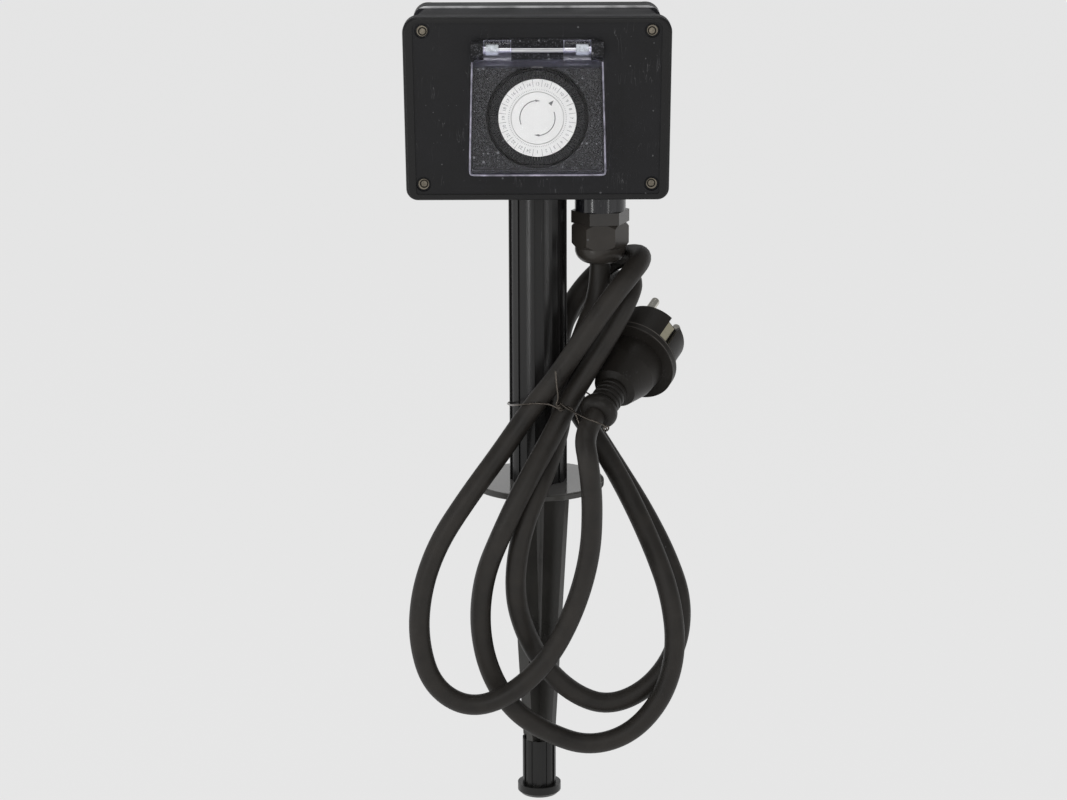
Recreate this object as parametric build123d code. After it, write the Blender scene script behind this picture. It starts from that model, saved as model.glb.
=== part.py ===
from build123d import *
import os
from math import acos, cos, pi, radians, sin, sqrt, tan

# Garden socket post with a mechanical day timer, its lead tied up in loops, in millimetres.
# The origin is on the post's axis at the underside of the ground disc. +Z is up, the timer faces
# -Y and the two sockets face +Y.

# Clearances
RUN_GAP = 0.05          # radial gap of a pin or shaft in its hole
FREE_GAP = 0.3          # gap between pieces that move past each other
SLIP_GAP = 0.1          # gap of a spigot in its socket

# Ground disc, spike and its tip guard
DISC_DIA = 70.5
DISC_THICK = 3.5
DISC_EDGE = 0.8
SPIKE_FIN_THICK = 4.0
SPIKE_FIN_TOP = 19.0    # reach of a fin from the axis, under the disc
SPIKE_FIN_FOOT = 9.2    # the same, just above the tip guard
SPIKE_CORE_DIA = 11.0
SPIKE_LENGTH = 143.5    # from the disc's underside to the shoulder on the tip guard
SPIKE_TURN = 10.0       # degrees that the fins are turned about the axis, from 45
TIP_REACH = 7.4         # reach of a fin inside the tip guard
TIP_LENGTH = 27.0       # length of spike inside the tip guard
TIP_POINT = 2.2         # reach of a fin at its very end
GUSSET_HEIGHT = 9.0
GUARD_DIA = 18.4
GUARD_WALL = 1.3
GUARD_LENGTH = 31.9
GUARD_FLANGE_DIA = 23.6
GUARD_FLANGE_THICK = 6.0
GUARD_BEVEL = 1.8
GUARD_FLUTES = 10
GUARD_FLUTE_DEPTH = 0.6

# Post
POST_DIA = 30.8
POST_WALL = 2.5
POST_RIBS = 10
POST_RIB_DEPTH = 0.8
POST_GROOVE_ANGLE = 19.0
POST_TURN = 3.0
POST_SPIGOT_LENGTH = 28.0
POST_SPIGOT_WALL = 3.0
POST_SCREW_DIA = 3.0
POST_SCREW_HEAD_DIA = 6.0
POST_SCREW_HEAD = 1.8
POST_SCREW_DEPTH = 5.5
POST_SCREW_INSET = 14.0  # from the tube's end to the screw

# Box: front cover, centre housing and rear cover
BOX_FOOT_Z = 167.0      # underside of the centre housing
BOX_HEIGHT = 86.0
BOX_WIDTH = 128.0
BOX_CORNER = 6.5
BOX_WALL = 3.0
BOX_FRONT_Y = -46.0
BOX_BACK_Y = 46.0
COVER_SIDE_TOP = 4.25   # how far the front cover stands out past the housing's side
COVER_SIDE_FOOT = 3.0
COVER_OVERHANG_TOP = 3.5
COVER_OVERHANG_FOOT = 4.0
COVER_CORNER_TOP = 8.0
COVER_CORNER_FOOT = 6.0
COVER_DEPTH = 11.8
COVER_RIM = 5.0
COVER_RIM_ENDS = 3.0    # the rim's width above and below
COVER_RECESS = 0.8
COVER_EDGE = 1.6
SEAL_THICK = 1.2
SEAL_WIDTH = 2.2
REAR_SEAL_INSET = 0.4
FLANGE_DEPTH = 3.0
FLANGE_INSET = 1.2
REAR_SIDE = 1.5
REAR_OVERHANG = 1.2
REAR_DEPTH = 21.5
REAR_CORNER = 7.5
REAR_EDGE = 2.5

# Screws of both covers, one in each corner
SCREW_INSET = 5.9       # from the centre housing's side
SCREW_RISE = 4.4        # from its underside
SCREW_DROP = 3.5        # from its top
SCREW_DIA = 3.5
SCREW_HEAD_DIA = 5.4
SCREW_HEAD = 1.3
SCREW_SINK_DIA = 7.7
SCREW_SINK = 1.6
SCREW_GRIP = 14.0       # length of screw in the centre housing
SCREW_BOSS_DIA = 6.4
SCREW_PILLAR_DIA = 10.0
CROSS_LENGTH = 3.2
CROSS_WIDTH = 0.8
CROSS_DEPTH = 0.7

# Timer front: panel, flap and its pin
TIMER_Z = 205.8         # height of the dial's centre
PANEL_PROUD = 1.2
PANEL_FOOT_Z = 179.2
PANEL_TOP_Z = 245.6
PANEL_HALF_FOOT = 33.1
PANEL_HALF_TOP = 30.9
PANEL_STEP = 2.0        # inset of the part that passes through the cover
PANEL_DEPTH = 4.2       # from the cover's face to the timer case
PANEL_CORNER = 2.0
DIAL_WINDOW_DIA = 52.0
FLAP_TOP_Z = 235.0
FLAP_FOOT_Z = 176.9
FLAP_HALF_TOP = 33.0
FLAP_HALF_FOOT = 35.2
FLAP_DEPTH = 8.7
FLAP_WALL = 1.6
FLAP_CORNER = 3.0
HINGE_Y = -52.0
HINGE_Z = 240.4
KNUCKLE_IN = 13.1       # inner face of a knuckle, from the middle
KNUCKLE_OUT = 27.0
KNUCKLE_DIA = 10.2
LUG_OUT = 33.3
LUG_HEIGHT = 7.6
PIN_DIA = 2.4
PIN_END_DIA = 3.8
PIN_END_START = 20.8

# Timer: dial, tabs, gears, motor and switch
FACE_DIA = 39.6
FACE_INNER_DIA = 27.0
FACE_THICK = 1.2
CENTRE_DIA = 26.4
CENTRE_THICK = 0.9
FACE_SINK = 3.2         # from the cover's front to the dial's front, outwards
DRUM_DIA = 39.8
DRUM_DEPTH = 6.0
DRUM_FLANGE_DIA = 49.0
DRUM_FLANGE_THICK = 1.5
DRUM_NECK_DIA = 30.0
DRUM_HUB_DIA = 10.0
DRUM_HUB = 0.7          # from the gear to the hub's end
SPINDLE_DIA = 5.0
TAB_COUNT = 96
TAB_BLOCKS = 8
TAB_INNER = 20.2
TAB_OUTER = 24.0
TAB_ANGLE = 3.2
TAB_PROUD = 0.4
TAB_DEPTH = 5.2
TAB_TRAVEL = 2.0
TAIL_INNER = 21.2
TAIL_OUTER = 22.8
TAIL_ANGLE = 1.2
TAIL_BEYOND = 0.5
SLOT_SPOKE_ANGLE = 1.8
GEAR_MODULE = 0.6
GEAR_TEETH = 60
PINION_TEETH = 12
GEAR_THICK = 3.0
GEAR_GAP = 4.0          # from the drum's flange to the gear
PRESSURE_ANGLE = 20.0
ADDENDUM = 0.75         # in modules
DEDENDUM = 1.05
BACKLASH = 0.16
PINION_SHAFT_DIA = 2.0
DECK_THICK = 1.5
MOTOR_DIA = 32.0
MOTOR_DEPTH = 13.5
MOTOR_DROP = 8.0
CASE_HALF = 29.0
CASE_FOOT_Z = 177.5
CASE_TOP_Z = 243.5
CASE_WALL = 1.5
CASE_DEPTH = 27.0
SWITCH_WIDTH = 18.0
SWITCH_FOOT_Z = 236.5
SWITCH_HEIGHT = 5.0
SWITCH_DEPTH = 8.5
LEVER_Z = 233.9
LEVER_WIDTH = 6.0
LEVER_THICK = 1.0
LEVER_TIP_Z = 226.5
LEVER_GAP = 0.4         # from the tabs' tails
LEVER_AXLE_BACK = 1.2   # axle behind the blade's front
LEVER_AXLE_DIA = 1.9
LEVER_BARREL_DIA = 3.0
EAR_THICK = 1.5

# Sockets in the rear cover
SOCKET_SHARE = 0.2421875  # a socket's place, as a share of the box's width
SOCKET_Z = 207.0
WELL_DIA = 39.0
WELL_DEPTH = 17.5
CUP_WALL = 2.0
CUP_FLOOR = 2.5
CUP_HOLE_GAP = 0.2
PLATE_WIDTH = 54.0
PLATE_BELOW = 27.0
PLATE_ABOVE = 34.5
PLATE_THICK = 2.2
PLATE_CORNER = 5.0
CONTACT_PITCH = 19.0
CONTACT_HOLE_DIA = 5.6
CONTACT_TUBE_DIA = 7.4
CONTACT_LENGTH = 17.0
CLIP_WIDTH = 6.0
CLIP_THICK = 1.0
CLIP_LENGTH = 15.0
CLIP_SPAN = 35.0        # between the inner faces of a pair of clips
LID_WIDTH = 50.0
LID_BELOW = 24.0
LID_ABOVE = 25.0
LID_DEPTH = 5.8
LID_WALL = 1.6
LID_CORNER = 8.0
LID_HINGE_RISE = 29.3   # from the socket's centre to the lid's pin
LID_HINGE_OUT = 3.4     # from the plate's face to the lid's pin
LID_KNUCKLE_DIA = 5.4
LID_PIN_DIA = 2.4
LID_EAR = 3.0
LID_SPRING_ROOM = 9.0

# Cable gland under the box
GLAND_X = 33.0
GLAND_SLEEVE_DIA = 27.0
GLAND_SLEEVE_LENGTH = 17.0
GLAND_THREAD_DIA = 20.0
GLAND_BORE_DIA = 13.0
GLAND_HEX = 26.9        # across flats
GLAND_COLLAR = 6.5
GLAND_COLLAR_TURN = 8.0
GLAND_NECK_DIA = 23.0
GLAND_NECK = 12.5
GLAND_NUT_HEX = 26.2
GLAND_NUT_HEX_LENGTH = 11.0
GLAND_DOME_DIA = 26.6
GLAND_DOME = 10.5
GLAND_MOUTH_DIA = 16.0
GLAND_EXIT_DIA = 11.4
GLAND_LIP = 2.0
GLAND_FACE = 0.4        # from the hexagon's flats to its turned top edge
GLAND_DOME_BULGE = (0.9, 1.7)  # the dome's middle: in from its edge, down from half its height
SEAL_RING_DIA = 17.8
LOCK_NUT_HEX = 24.0
LOCK_NUT = 5.0

# Lead
CORD_DIA = 10.5
CORD_INSIDE_TOP = 9.0   # end of the lead's jacket above the housing's floor
CORE_DIA = 2.4
CORE_OFFSET = 3.0
CORE_RISE = 13.0
CORE_BEND = 4.5
BLOCK_LEFT_X = -26.0
BLOCK_RIGHT_X = 8.0
BLOCK_DEPTH = 14.0
BLOCK_HEIGHT = 13.0
BLOCK_SCREWS = 4
BLOCK_SCREW_DIA = 4.0
BLOCK_SCREW_HEAD = 1.0

# Plug, along its own axis from the lead
PLUG_SLOT_SIDE = Vector(1, 0.3, 0.8)
RELIEF_RINGS = 4
RELIEF_LENGTH = 23.0
RELIEF_WAIST_DIA = 13.0
RELIEF_RING_DIA = 16.2
RELIEF_BULB_DIA = 20.4
BULB_LENGTH = 9.5
GRIP_NECK_DIA = 23.0
GRIP_END = 38.0
GRIP_DIA = 32.0
COLLAR_START = 49.0
COLLAR_THICK = 5.0
COLLAR_DIA = 46.0
NOSE_DIA = 37.0
NOSE_LENGTH = 22.0
PLUG_PIN_DIA = 4.8
PLUG_PIN_LENGTH = 19.0
PLUG_SLOT_WIDTH = 7.0
PLUG_SLOT_DEPTH = 4.4
EARTH_WIDTH = 5.0
EARTH_THICK = 1.0
EARTH_LENGTH = 20.5

# Wire that ties the lead's loops to the post
TIE_DIA = 1.3
TIE_BEND = 4.0

# The lead's route, from the gland to the plug, chosen by eye
EXIT_ROUTE = [
    (33, 0, 122), (33, 0, 106), (24, -13, 86), (14, -17.5, 60),
]
HANK_ROUTE = [
    (11.5, -22.5, 36), (2, -39, 13), (-8, -46, -9), (-13, -42, -38), (-11, -32, -64), (0, -24, -92),
    (18, -20, -112), (38, -18, -120), (60, -14, -111), (75, -11, -90), (78, -5, -65), (70, 4, -42),
    (57, 14, -18), (42, 25, 4), (24.5, 35, 30), (12, 36.5, 55), (12, 35, 79), (22, 34, 95),
    (36, 34.5, 104.5), (46.5, 19, 108), (49.5, -4, 114), (49.5, -18, 111), (43.5, -24, 99),
    (31, -24.5, 77), (17, -30, 55), (7, -37, 36), (-8, -50, 12), (-19, -53, -11), (-29, -43, -38),
    (-32, -34, -68), (-27, -30, -96), (-14, -30, -118), (5, -30, -131), (27, -29, -139),
    (50, -28, -132), (67, -26, -112), (74, -24, -86), (71, -18, -58), (62, -7, -34), (49, 8, -8),
    (34, 18, 17), (16, 25, 42), (10, 22.5, 68), (16, 22, 92), (29, 21.5, 110), (43.5, 17, 121.5),
    (53.5, 1, 126), (54.5, -16, 126.5), (49, -30, 122.5), (36.5, -36.5, 108), (22.5, -36, 87),
    (9, -33, 66), (-4, -31, 49.5), (-19, -37, 28.5), (-37, -47, 6),
    (-53, -47, -19), (-62, -47, -45), (-64, -47, -72), (-57, -47, -98), (-38, -46, -111),
    (-16, -44.5, -105), (5, -44, -85), (19, -47, -56), (27, -54, -24), (28, -61, 6),
    (26, -65.5, 28), (23.1, -57.2, 43), (29.5, -45, 49),
]
TIE_ROUTE = [
    (8, -42, 70), (11, -41, 52), (3, -41, 53.5), (-6, -40, 52.5), (-14, -36, 50.5), (-17.5, -18, 47),
    (-17.5, 2, 42),
    (-15, 18, 40), (-4, 36, 42), (11, 44, 43), (25, 40, 43), (30, 24, 41), (31, 0, 38),
    (34, -30, 36), (37.5, -50, 39), (36, -62, 45), (29, -67, 49), (21, -58, 52), (16.5, -46, 52),
    (13, -42, 48), (21, -47, 43),
]

# Places that follow from the sizes above
COVER_BACK_Y = BOX_FRONT_Y + COVER_DEPTH
HOUSING_FRONT_Y = COVER_BACK_Y + SEAL_THICK
REAR_FRONT_Y = BOX_BACK_Y - REAR_DEPTH
HOUSING_BACK_Y = REAR_FRONT_Y - SEAL_THICK
BOX_TOP_Z = BOX_FOOT_Z + BOX_HEIGHT
REAR_WIDTH = BOX_WIDTH + 2 * REAR_SIDE
SCREW_X = BOX_WIDTH / 2 - SCREW_INSET
SCREW_Z_LOW = BOX_FOOT_Z + SCREW_RISE
SCREW_Z_HIGH = BOX_TOP_Z - SCREW_DROP
SOCKET_X = BOX_WIDTH * SOCKET_SHARE
FLOOR_Z = BOX_FOOT_Z + BOX_WALL
COVER_FACE_Y = BOX_FRONT_Y + COVER_RECESS
PANEL_FACE_Y = COVER_FACE_Y - PANEL_PROUD
PANEL_BACK_Y = COVER_FACE_Y + PANEL_DEPTH
FLAP_BACK_Y = COVER_FACE_Y - FREE_GAP
FLAP_FRONT_Y = FLAP_BACK_Y - FLAP_DEPTH
FACE_FRONT_Y = BOX_FRONT_Y - FACE_SINK
DRUM_FRONT_Y = FACE_FRONT_Y + FACE_THICK
DRUM_FLANGE_Y = DRUM_FRONT_Y + DRUM_DEPTH
DRUM_FLANGE_BACK_Y = DRUM_FLANGE_Y + DRUM_FLANGE_THICK
GEAR_FRONT_Y = DRUM_FLANGE_BACK_Y + GEAR_GAP
GEAR_BACK_Y = GEAR_FRONT_Y + GEAR_THICK
DRUM_BACK_Y = GEAR_BACK_Y + DRUM_HUB
DECK_Y = DRUM_BACK_Y + FREE_GAP
TAB_FRONT_Y = FACE_FRONT_Y - TAB_PROUD
TAB_BACK_Y = TAB_FRONT_Y + TAB_DEPTH
TAIL_BACK_Y = DRUM_FLANGE_BACK_Y + TAIL_BEYOND
LEVER_FRONT_Y = TAIL_BACK_Y + LEVER_GAP
LEVER_Y = LEVER_FRONT_Y + LEVER_AXLE_BACK
GEAR_DISTANCE = GEAR_MODULE * (GEAR_TEETH + PINION_TEETH) / 2
PINION_Z = TIMER_Z - GEAR_DISTANCE
PLATE_FACE_Y = BOX_BACK_Y + PLATE_THICK
WELL_FLOOR_Y = PLATE_FACE_Y - WELL_DEPTH
CUP_BACK_Y = WELL_FLOOR_Y - CUP_FLOOR
GLAND_FOOT_Z = BOX_FOOT_Z - GLAND_SLEEVE_LENGTH
COLLAR_FOOT_Z = GLAND_FOOT_Z - GLAND_COLLAR
NUT_TOP_Z = COLLAR_FOOT_Z - FREE_GAP / 2
NUT_FOOT_Z = COLLAR_FOOT_Z - GLAND_NUT_HEX_LENGTH - GLAND_DOME
POST_BORE = POST_DIA - 2 * POST_WALL
PLUG_START = Vector(*HANK_ROUTE[-1])
PLUG_AXIS = (PLUG_START - Vector(*HANK_ROUTE[-2])).normalized()
NOSE_START = COLLAR_START + COLLAR_THICK
NOSE_END = NOSE_START + NOSE_LENGTH


def slab(sketch, front_y, back_y):
    """A sketch drawn in x and z, extruded from front_y to back_y."""
    return extrude(Plane.XZ.offset(-back_y) * sketch, amount=back_y - front_y)


def column(sketch, low_z, high_z):
    """A sketch drawn in x and y, extruded from low_z to high_z."""
    return extrude(Plane.XY.offset(low_z) * sketch, amount=high_z - low_z)


def rod_y(diameter, x, z, front_y, back_y):
    return slab(Pos(x, z) * Circle(diameter / 2), front_y, back_y)


def rod_x(diameter, y, z, low_x, high_x):
    return extrude(Plane.YZ.offset(low_x) * Pos(y, z) * Circle(diameter / 2), amount=high_x - low_x)


def box(low, high):
    size = [b - a for a, b in zip(low, high)]
    centre = [(a + b) / 2 for a, b in zip(low, high)]
    return Pos(*centre) * Box(*size)


def outline(half_foot, half_top, foot_z, top_z, r_foot, r_top):
    """An upright four-sided outline with rounded corners."""
    corners = [(-half_foot, foot_z), (half_foot, foot_z), (half_top, top_z), (-half_top, top_z)]
    face = make_face(Polyline(*corners, close=True))
    middle = (foot_z + top_z) / 2
    low = [v for v in face.vertices() if v.Y < middle]
    face = fillet(low, r_foot)
    high = [v for v in face.vertices() if v.Y > top_z - r_foot and abs(v.X) > half_top - 0.01]
    return fillet(high, r_top)


def cover_outline(inset, end_inset=None):
    """The front cover's outline, drawn in by inset, or by end_inset above and below."""
    ends = inset if end_inset is None else end_inset
    half_foot = BOX_WIDTH / 2 + COVER_SIDE_FOOT - inset
    half_top = BOX_WIDTH / 2 + COVER_SIDE_TOP - inset
    foot_z = BOX_FOOT_Z - COVER_OVERHANG_FOOT + ends
    top_z = BOX_TOP_Z + COVER_OVERHANG_TOP - ends
    return outline(half_foot, half_top, foot_z, top_z,
                   max(COVER_CORNER_FOOT - inset, 1.5), max(COVER_CORNER_TOP - inset, 1.5))


def box_outline(inset):
    return Pos(0, BOX_FOOT_Z + BOX_HEIGHT / 2) * RectangleRounded(
        BOX_WIDTH - 2 * inset, BOX_HEIGHT - 2 * inset, BOX_CORNER - inset)


def rear_outline(inset):
    return Pos(0, BOX_FOOT_Z + BOX_HEIGHT / 2) * RectangleRounded(
        REAR_WIDTH - 2 * inset, BOX_HEIGHT + 2 * REAR_OVERHANG - 2 * inset, REAR_CORNER - inset)


def screw_places():
    return [(x, z) for z in (SCREW_Z_LOW, SCREW_Z_HIGH) for x in (-SCREW_X, SCREW_X)]


def edges_at_y(part, y):
    return part.edges().filter_by(lambda e: all(abs(v.Y - y) < 1e-4 for v in e.vertices()))


def ring_pattern(sketch, count, start=0.0):
    """Copies of a sketch, evenly spaced round the origin."""
    return [Rot(0, 0, start + i * 360 / count) * sketch for i in range(count)]


# Front cover and what sits in it
def make_front_cover():
    cover = slab(cover_outline(0), BOX_FRONT_Y, COVER_BACK_Y)
    cover = fillet(edges_at_y(cover, BOX_FRONT_Y), COVER_EDGE)
    cover -= slab(cover_outline(COVER_RIM, COVER_RIM_ENDS), BOX_FRONT_Y, COVER_FACE_Y)
    cover -= slab(cover_outline(BOX_WALL), COVER_FACE_Y + BOX_WALL, COVER_BACK_Y)
    sink_y = COVER_FACE_Y + SCREW_SINK
    for x, z in screw_places():
        cover += rod_y(SCREW_PILLAR_DIA, x, z, sink_y, COVER_BACK_Y)
        cover -= rod_y(SCREW_SINK_DIA, x, z, BOX_FRONT_Y, sink_y)
        cover -= rod_y(SCREW_DIA + 2 * SLIP_GAP, x, z, sink_y, COVER_BACK_Y)
    return cover - slab(panel_outline(PANEL_STEP - SLIP_GAP), BOX_FRONT_Y, COVER_BACK_Y)


def panel_outline(inset):
    return outline(PANEL_HALF_FOOT - inset, PANEL_HALF_TOP - inset, PANEL_FOOT_Z + inset,
                   PANEL_TOP_Z - inset, PANEL_CORNER, PANEL_CORNER)


def make_timer_panel():
    """The grained panel round the dial, with the two lugs that hold the flap's pin."""
    panel = slab(panel_outline(0), PANEL_FACE_Y, COVER_FACE_Y)
    panel += slab(panel_outline(PANEL_STEP), COVER_FACE_Y, PANEL_BACK_Y)
    lug_foot = HINGE_Z - LUG_HEIGHT / 2
    lug_front = HINGE_Y - LUG_HEIGHT / 2
    for side in (-1, 1):
        inner, outer = side * (KNUCKLE_OUT + FREE_GAP), side * LUG_OUT
        low_x, high_x = min(inner, outer), max(inner, outer)
        panel += box((low_x, HINGE_Y, lug_foot), (high_x, COVER_FACE_Y, lug_foot + LUG_HEIGHT))
        panel += rod_x(LUG_HEIGHT, HINGE_Y, HINGE_Z, low_x, high_x)
        panel -= rod_x(PIN_END_DIA + 2 * RUN_GAP, HINGE_Y, HINGE_Z, low_x, high_x)
    return panel - rod_y(DIAL_WINDOW_DIA, 0, TIMER_Z, lug_front, PANEL_BACK_Y)


def flap_outline(inset):
    return outline(FLAP_HALF_FOOT - inset, FLAP_HALF_TOP - inset, FLAP_FOOT_Z + inset,
                   FLAP_TOP_Z - inset, FLAP_CORNER - inset, FLAP_CORNER - inset)


def make_timer_flap():
    """Clear tray over the dial, with two knuckles on the pin."""
    flap = slab(flap_outline(0), FLAP_FRONT_Y, FLAP_BACK_Y)
    flap -= slab(flap_outline(FLAP_WALL), FLAP_FRONT_Y + FLAP_WALL, FLAP_BACK_Y)
    flap -= slab(panel_outline(-FREE_GAP), PANEL_FACE_Y - FREE_GAP, FLAP_BACK_Y)
    radius = KNUCKLE_DIA / 2
    for side in (-1, 1):
        low_x, high_x = sorted((side * KNUCKLE_IN, side * KNUCKLE_OUT))
        step_x = side * PIN_END_START
        flap += rod_x(KNUCKLE_DIA, HINGE_Y, HINGE_Z, low_x, high_x)
        flap += box((low_x, HINGE_Y - radius, FLAP_TOP_Z - FLAP_WALL),
                    (high_x, HINGE_Y + FLAP_WALL, HINGE_Z))
        thin = sorted((side * KNUCKLE_IN, step_x))
        thick = sorted((step_x, side * KNUCKLE_OUT))
        flap -= rod_x(PIN_DIA + 2 * RUN_GAP, HINGE_Y, HINGE_Z, *thin)
        flap -= rod_x(PIN_END_DIA + 2 * RUN_GAP, HINGE_Y, HINGE_Z, *thick)
    return flap


def make_flap_pin():
    """Bright pin, thicker where it runs in the lugs and the outer halves of the knuckles."""
    pin = rod_x(PIN_DIA, HINGE_Y, HINGE_Z, -PIN_END_START, PIN_END_START)
    reach = LUG_OUT - FREE_GAP
    ends = PIN_END_START + SLIP_GAP
    return pin + rod_x(PIN_END_DIA, HINGE_Y, HINGE_Z, -reach, -ends) + rod_x(
        PIN_END_DIA, HINGE_Y, HINGE_Z, ends, reach) + rod_x(
        PIN_DIA, HINGE_Y, HINGE_Z, -ends, ends)


def screws(head_y, grip_y, direction):
    """Four screws with cross recesses, whose heads face along y by direction."""
    made = []
    for x, z in screw_places():
        front = head_y + direction * SCREW_HEAD
        low, high = sorted((front, head_y))
        screw = rod_y(SCREW_HEAD_DIA, x, z, low, high)
        low, high = sorted((head_y, grip_y))
        screw += rod_y(SCREW_DIA, x, z, low, high)
        floor = front - direction * CROSS_DEPTH
        low, high = sorted((front, floor))
        for across, up in ((CROSS_LENGTH, CROSS_WIDTH), (CROSS_WIDTH, CROSS_LENGTH)):
            screw -= slab(Pos(x, z) * Rectangle(across, up), low, high)
        made.append(screw)
    return made


# Centre housing, seals and rear cover
def make_main_housing():
    """The box's middle: an open frame with the post's spigot and the gland's sleeve below."""
    housing = slab(box_outline(0), HOUSING_FRONT_Y, HOUSING_BACK_Y)
    housing += slab(cover_outline(FLANGE_INSET), HOUSING_FRONT_Y, HOUSING_FRONT_Y + FLANGE_DEPTH)
    housing -= slab(box_outline(BOX_WALL), HOUSING_FRONT_Y, HOUSING_BACK_Y)
    hole = SCREW_DIA + 2 * RUN_GAP
    for x, z in screw_places():
        for start, end in ((HOUSING_FRONT_Y, HOUSING_FRONT_Y + SCREW_GRIP + 2),
                           (HOUSING_BACK_Y - SCREW_GRIP - 2, HOUSING_BACK_Y)):
            housing += rod_y(SCREW_BOSS_DIA, x, z, start, end)
            housing -= rod_y(hole, x, z, start, end)
    spigot = Circle(POST_BORE / 2 - SLIP_GAP)
    foot = BOX_FOOT_Z - POST_SPIGOT_LENGTH
    housing += column(spigot, foot, BOX_FOOT_Z + BOX_WALL / 2)
    housing -= column(Circle(POST_BORE / 2 - SLIP_GAP - POST_SPIGOT_WALL), foot, BOX_FOOT_Z)
    housing -= post_screw_hole(BOX_FOOT_Z - POST_SCREW_INSET)
    sleeve = Pos(GLAND_X, 0) * Circle(GLAND_SLEEVE_DIA / 2)
    housing += column(sleeve, GLAND_FOOT_Z, BOX_FOOT_Z + BOX_WALL / 2)
    bore = Pos(GLAND_X, 0) * Circle(GLAND_THREAD_DIA / 2 + SLIP_GAP)
    return housing - column(bore, GLAND_FOOT_Z, FLOOR_Z)


def make_cover_seal():
    ring = cover_outline(FLANGE_INSET) - cover_outline(FLANGE_INSET + SEAL_WIDTH)
    return slab(ring, COVER_BACK_Y, HOUSING_FRONT_Y)


def screw_holes(diameter):
    return [Pos(x, z) * Circle(diameter / 2) for x, z in screw_places()]


def make_rear_seal():
    ring = box_outline(REAR_SEAL_INSET) - box_outline(BOX_WALL)
    for hole in screw_holes(SCREW_DIA + 2 * SLIP_GAP):
        ring -= hole
    return slab(ring, HOUSING_BACK_Y, REAR_FRONT_Y)


def make_rear_cover():
    cover = slab(rear_outline(0), REAR_FRONT_Y, BOX_BACK_Y)
    cover = fillet(edges_at_y(cover, BOX_BACK_Y), REAR_EDGE)
    cover -= slab(rear_outline(BOX_WALL), REAR_FRONT_Y, BOX_BACK_Y - BOX_WALL)
    sink_y = BOX_BACK_Y - SCREW_SINK
    for x, z in screw_places():
        cover += rod_y(SCREW_PILLAR_DIA, x, z, REAR_FRONT_Y, sink_y)
        cover -= rod_y(SCREW_SINK_DIA, x, z, sink_y, BOX_BACK_Y)
        cover -= rod_y(SCREW_DIA + 2 * SLIP_GAP, x, z, REAR_FRONT_Y, sink_y)
    for side in (-1, 1):
        cover -= rod_y(WELL_DIA + 2 * CUP_WALL + 2 * CUP_HOLE_GAP, side * SOCKET_X, SOCKET_Z,
                       REAR_FRONT_Y, BOX_BACK_Y)
    return cover & slab(rear_outline(0), REAR_FRONT_Y, BOX_BACK_Y)


# Sockets and their lids
def make_socket_insert(x):
    """A round well in a flat plate, with the two ears of the lid's hinge."""
    foot, top = SOCKET_Z - PLATE_BELOW, SOCKET_Z + PLATE_ABOVE
    plate = Pos(x, (foot + top) / 2) * RectangleRounded(PLATE_WIDTH, top - foot, PLATE_CORNER)
    insert = slab(plate, BOX_BACK_Y, PLATE_FACE_Y)
    insert += rod_y(WELL_DIA + 2 * CUP_WALL, x, SOCKET_Z, CUP_BACK_Y, BOX_BACK_Y)
    insert -= rod_y(WELL_DIA, x, SOCKET_Z, WELL_FLOOR_Y, PLATE_FACE_Y)
    for side in (-1, 1):
        insert -= rod_y(CONTACT_HOLE_DIA, x + side * CONTACT_PITCH / 2, SOCKET_Z, CUP_BACK_Y,
                        WELL_FLOOR_Y)
        inner = x + side * (LID_WIDTH / 2 - LID_EAR)
        outer = x + side * LID_WIDTH / 2
        low_x, high_x = sorted((inner, outer))
        y, z, r = lid_hinge()
        insert += rod_x(2 * r, y, z, low_x, high_x)
        insert += box((low_x, PLATE_FACE_Y, z - r), (high_x, y, z + r))
        insert -= rod_x(LID_PIN_DIA + 2 * RUN_GAP, y, z, low_x, high_x)
    return insert


def lid_hinge():
    return PLATE_FACE_Y + LID_HINGE_OUT, SOCKET_Z + LID_HINGE_RISE, LID_KNUCKLE_DIA / 2


def make_socket_lid(x):
    """A hollow lid with a knuckle along its top, open in the middle for the spring."""
    foot, top = SOCKET_Z - LID_BELOW, SOCKET_Z + LID_ABOVE
    inner_y, outer_y = PLATE_FACE_Y + FREE_GAP, PLATE_FACE_Y + FREE_GAP + LID_DEPTH
    place = Pos(x, (foot + top) / 2)
    lid = slab(place * RectangleRounded(LID_WIDTH, top - foot, LID_CORNER), inner_y, outer_y)
    lid = fillet(edges_at_y(lid, outer_y), LID_WALL)
    inside = place * RectangleRounded(LID_WIDTH - 2 * LID_WALL, top - foot - 2 * LID_WALL,
                                      LID_CORNER - LID_WALL)
    lid -= slab(inside, inner_y, outer_y - LID_WALL)
    y, z, r = lid_hinge()
    for side in (-1, 1):
        inner = x + side * LID_SPRING_ROOM / 2
        outer = x + side * (LID_WIDTH / 2 - LID_EAR - FREE_GAP)
        low_x, high_x = sorted((inner, outer))
        narrow = x + side * (LID_WIDTH / 2 - LID_CORNER)
        arm_low, arm_high = sorted((inner, narrow))
        lid += rod_x(2 * r, y, z, low_x, high_x)
        lid += box((arm_low, y - LID_WALL / 2, top - LID_WALL), (arm_high, y + r, z))
        lid -= rod_x(LID_PIN_DIA + 2 * RUN_GAP, y, z, low_x, high_x)
    return lid


def make_lid_pins():
    y, z, _ = lid_hinge()
    half = LID_WIDTH / 2
    return [rod_x(LID_PIN_DIA, y, z, x - half, x + half) for x in (-SOCKET_X, SOCKET_X)]


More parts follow.
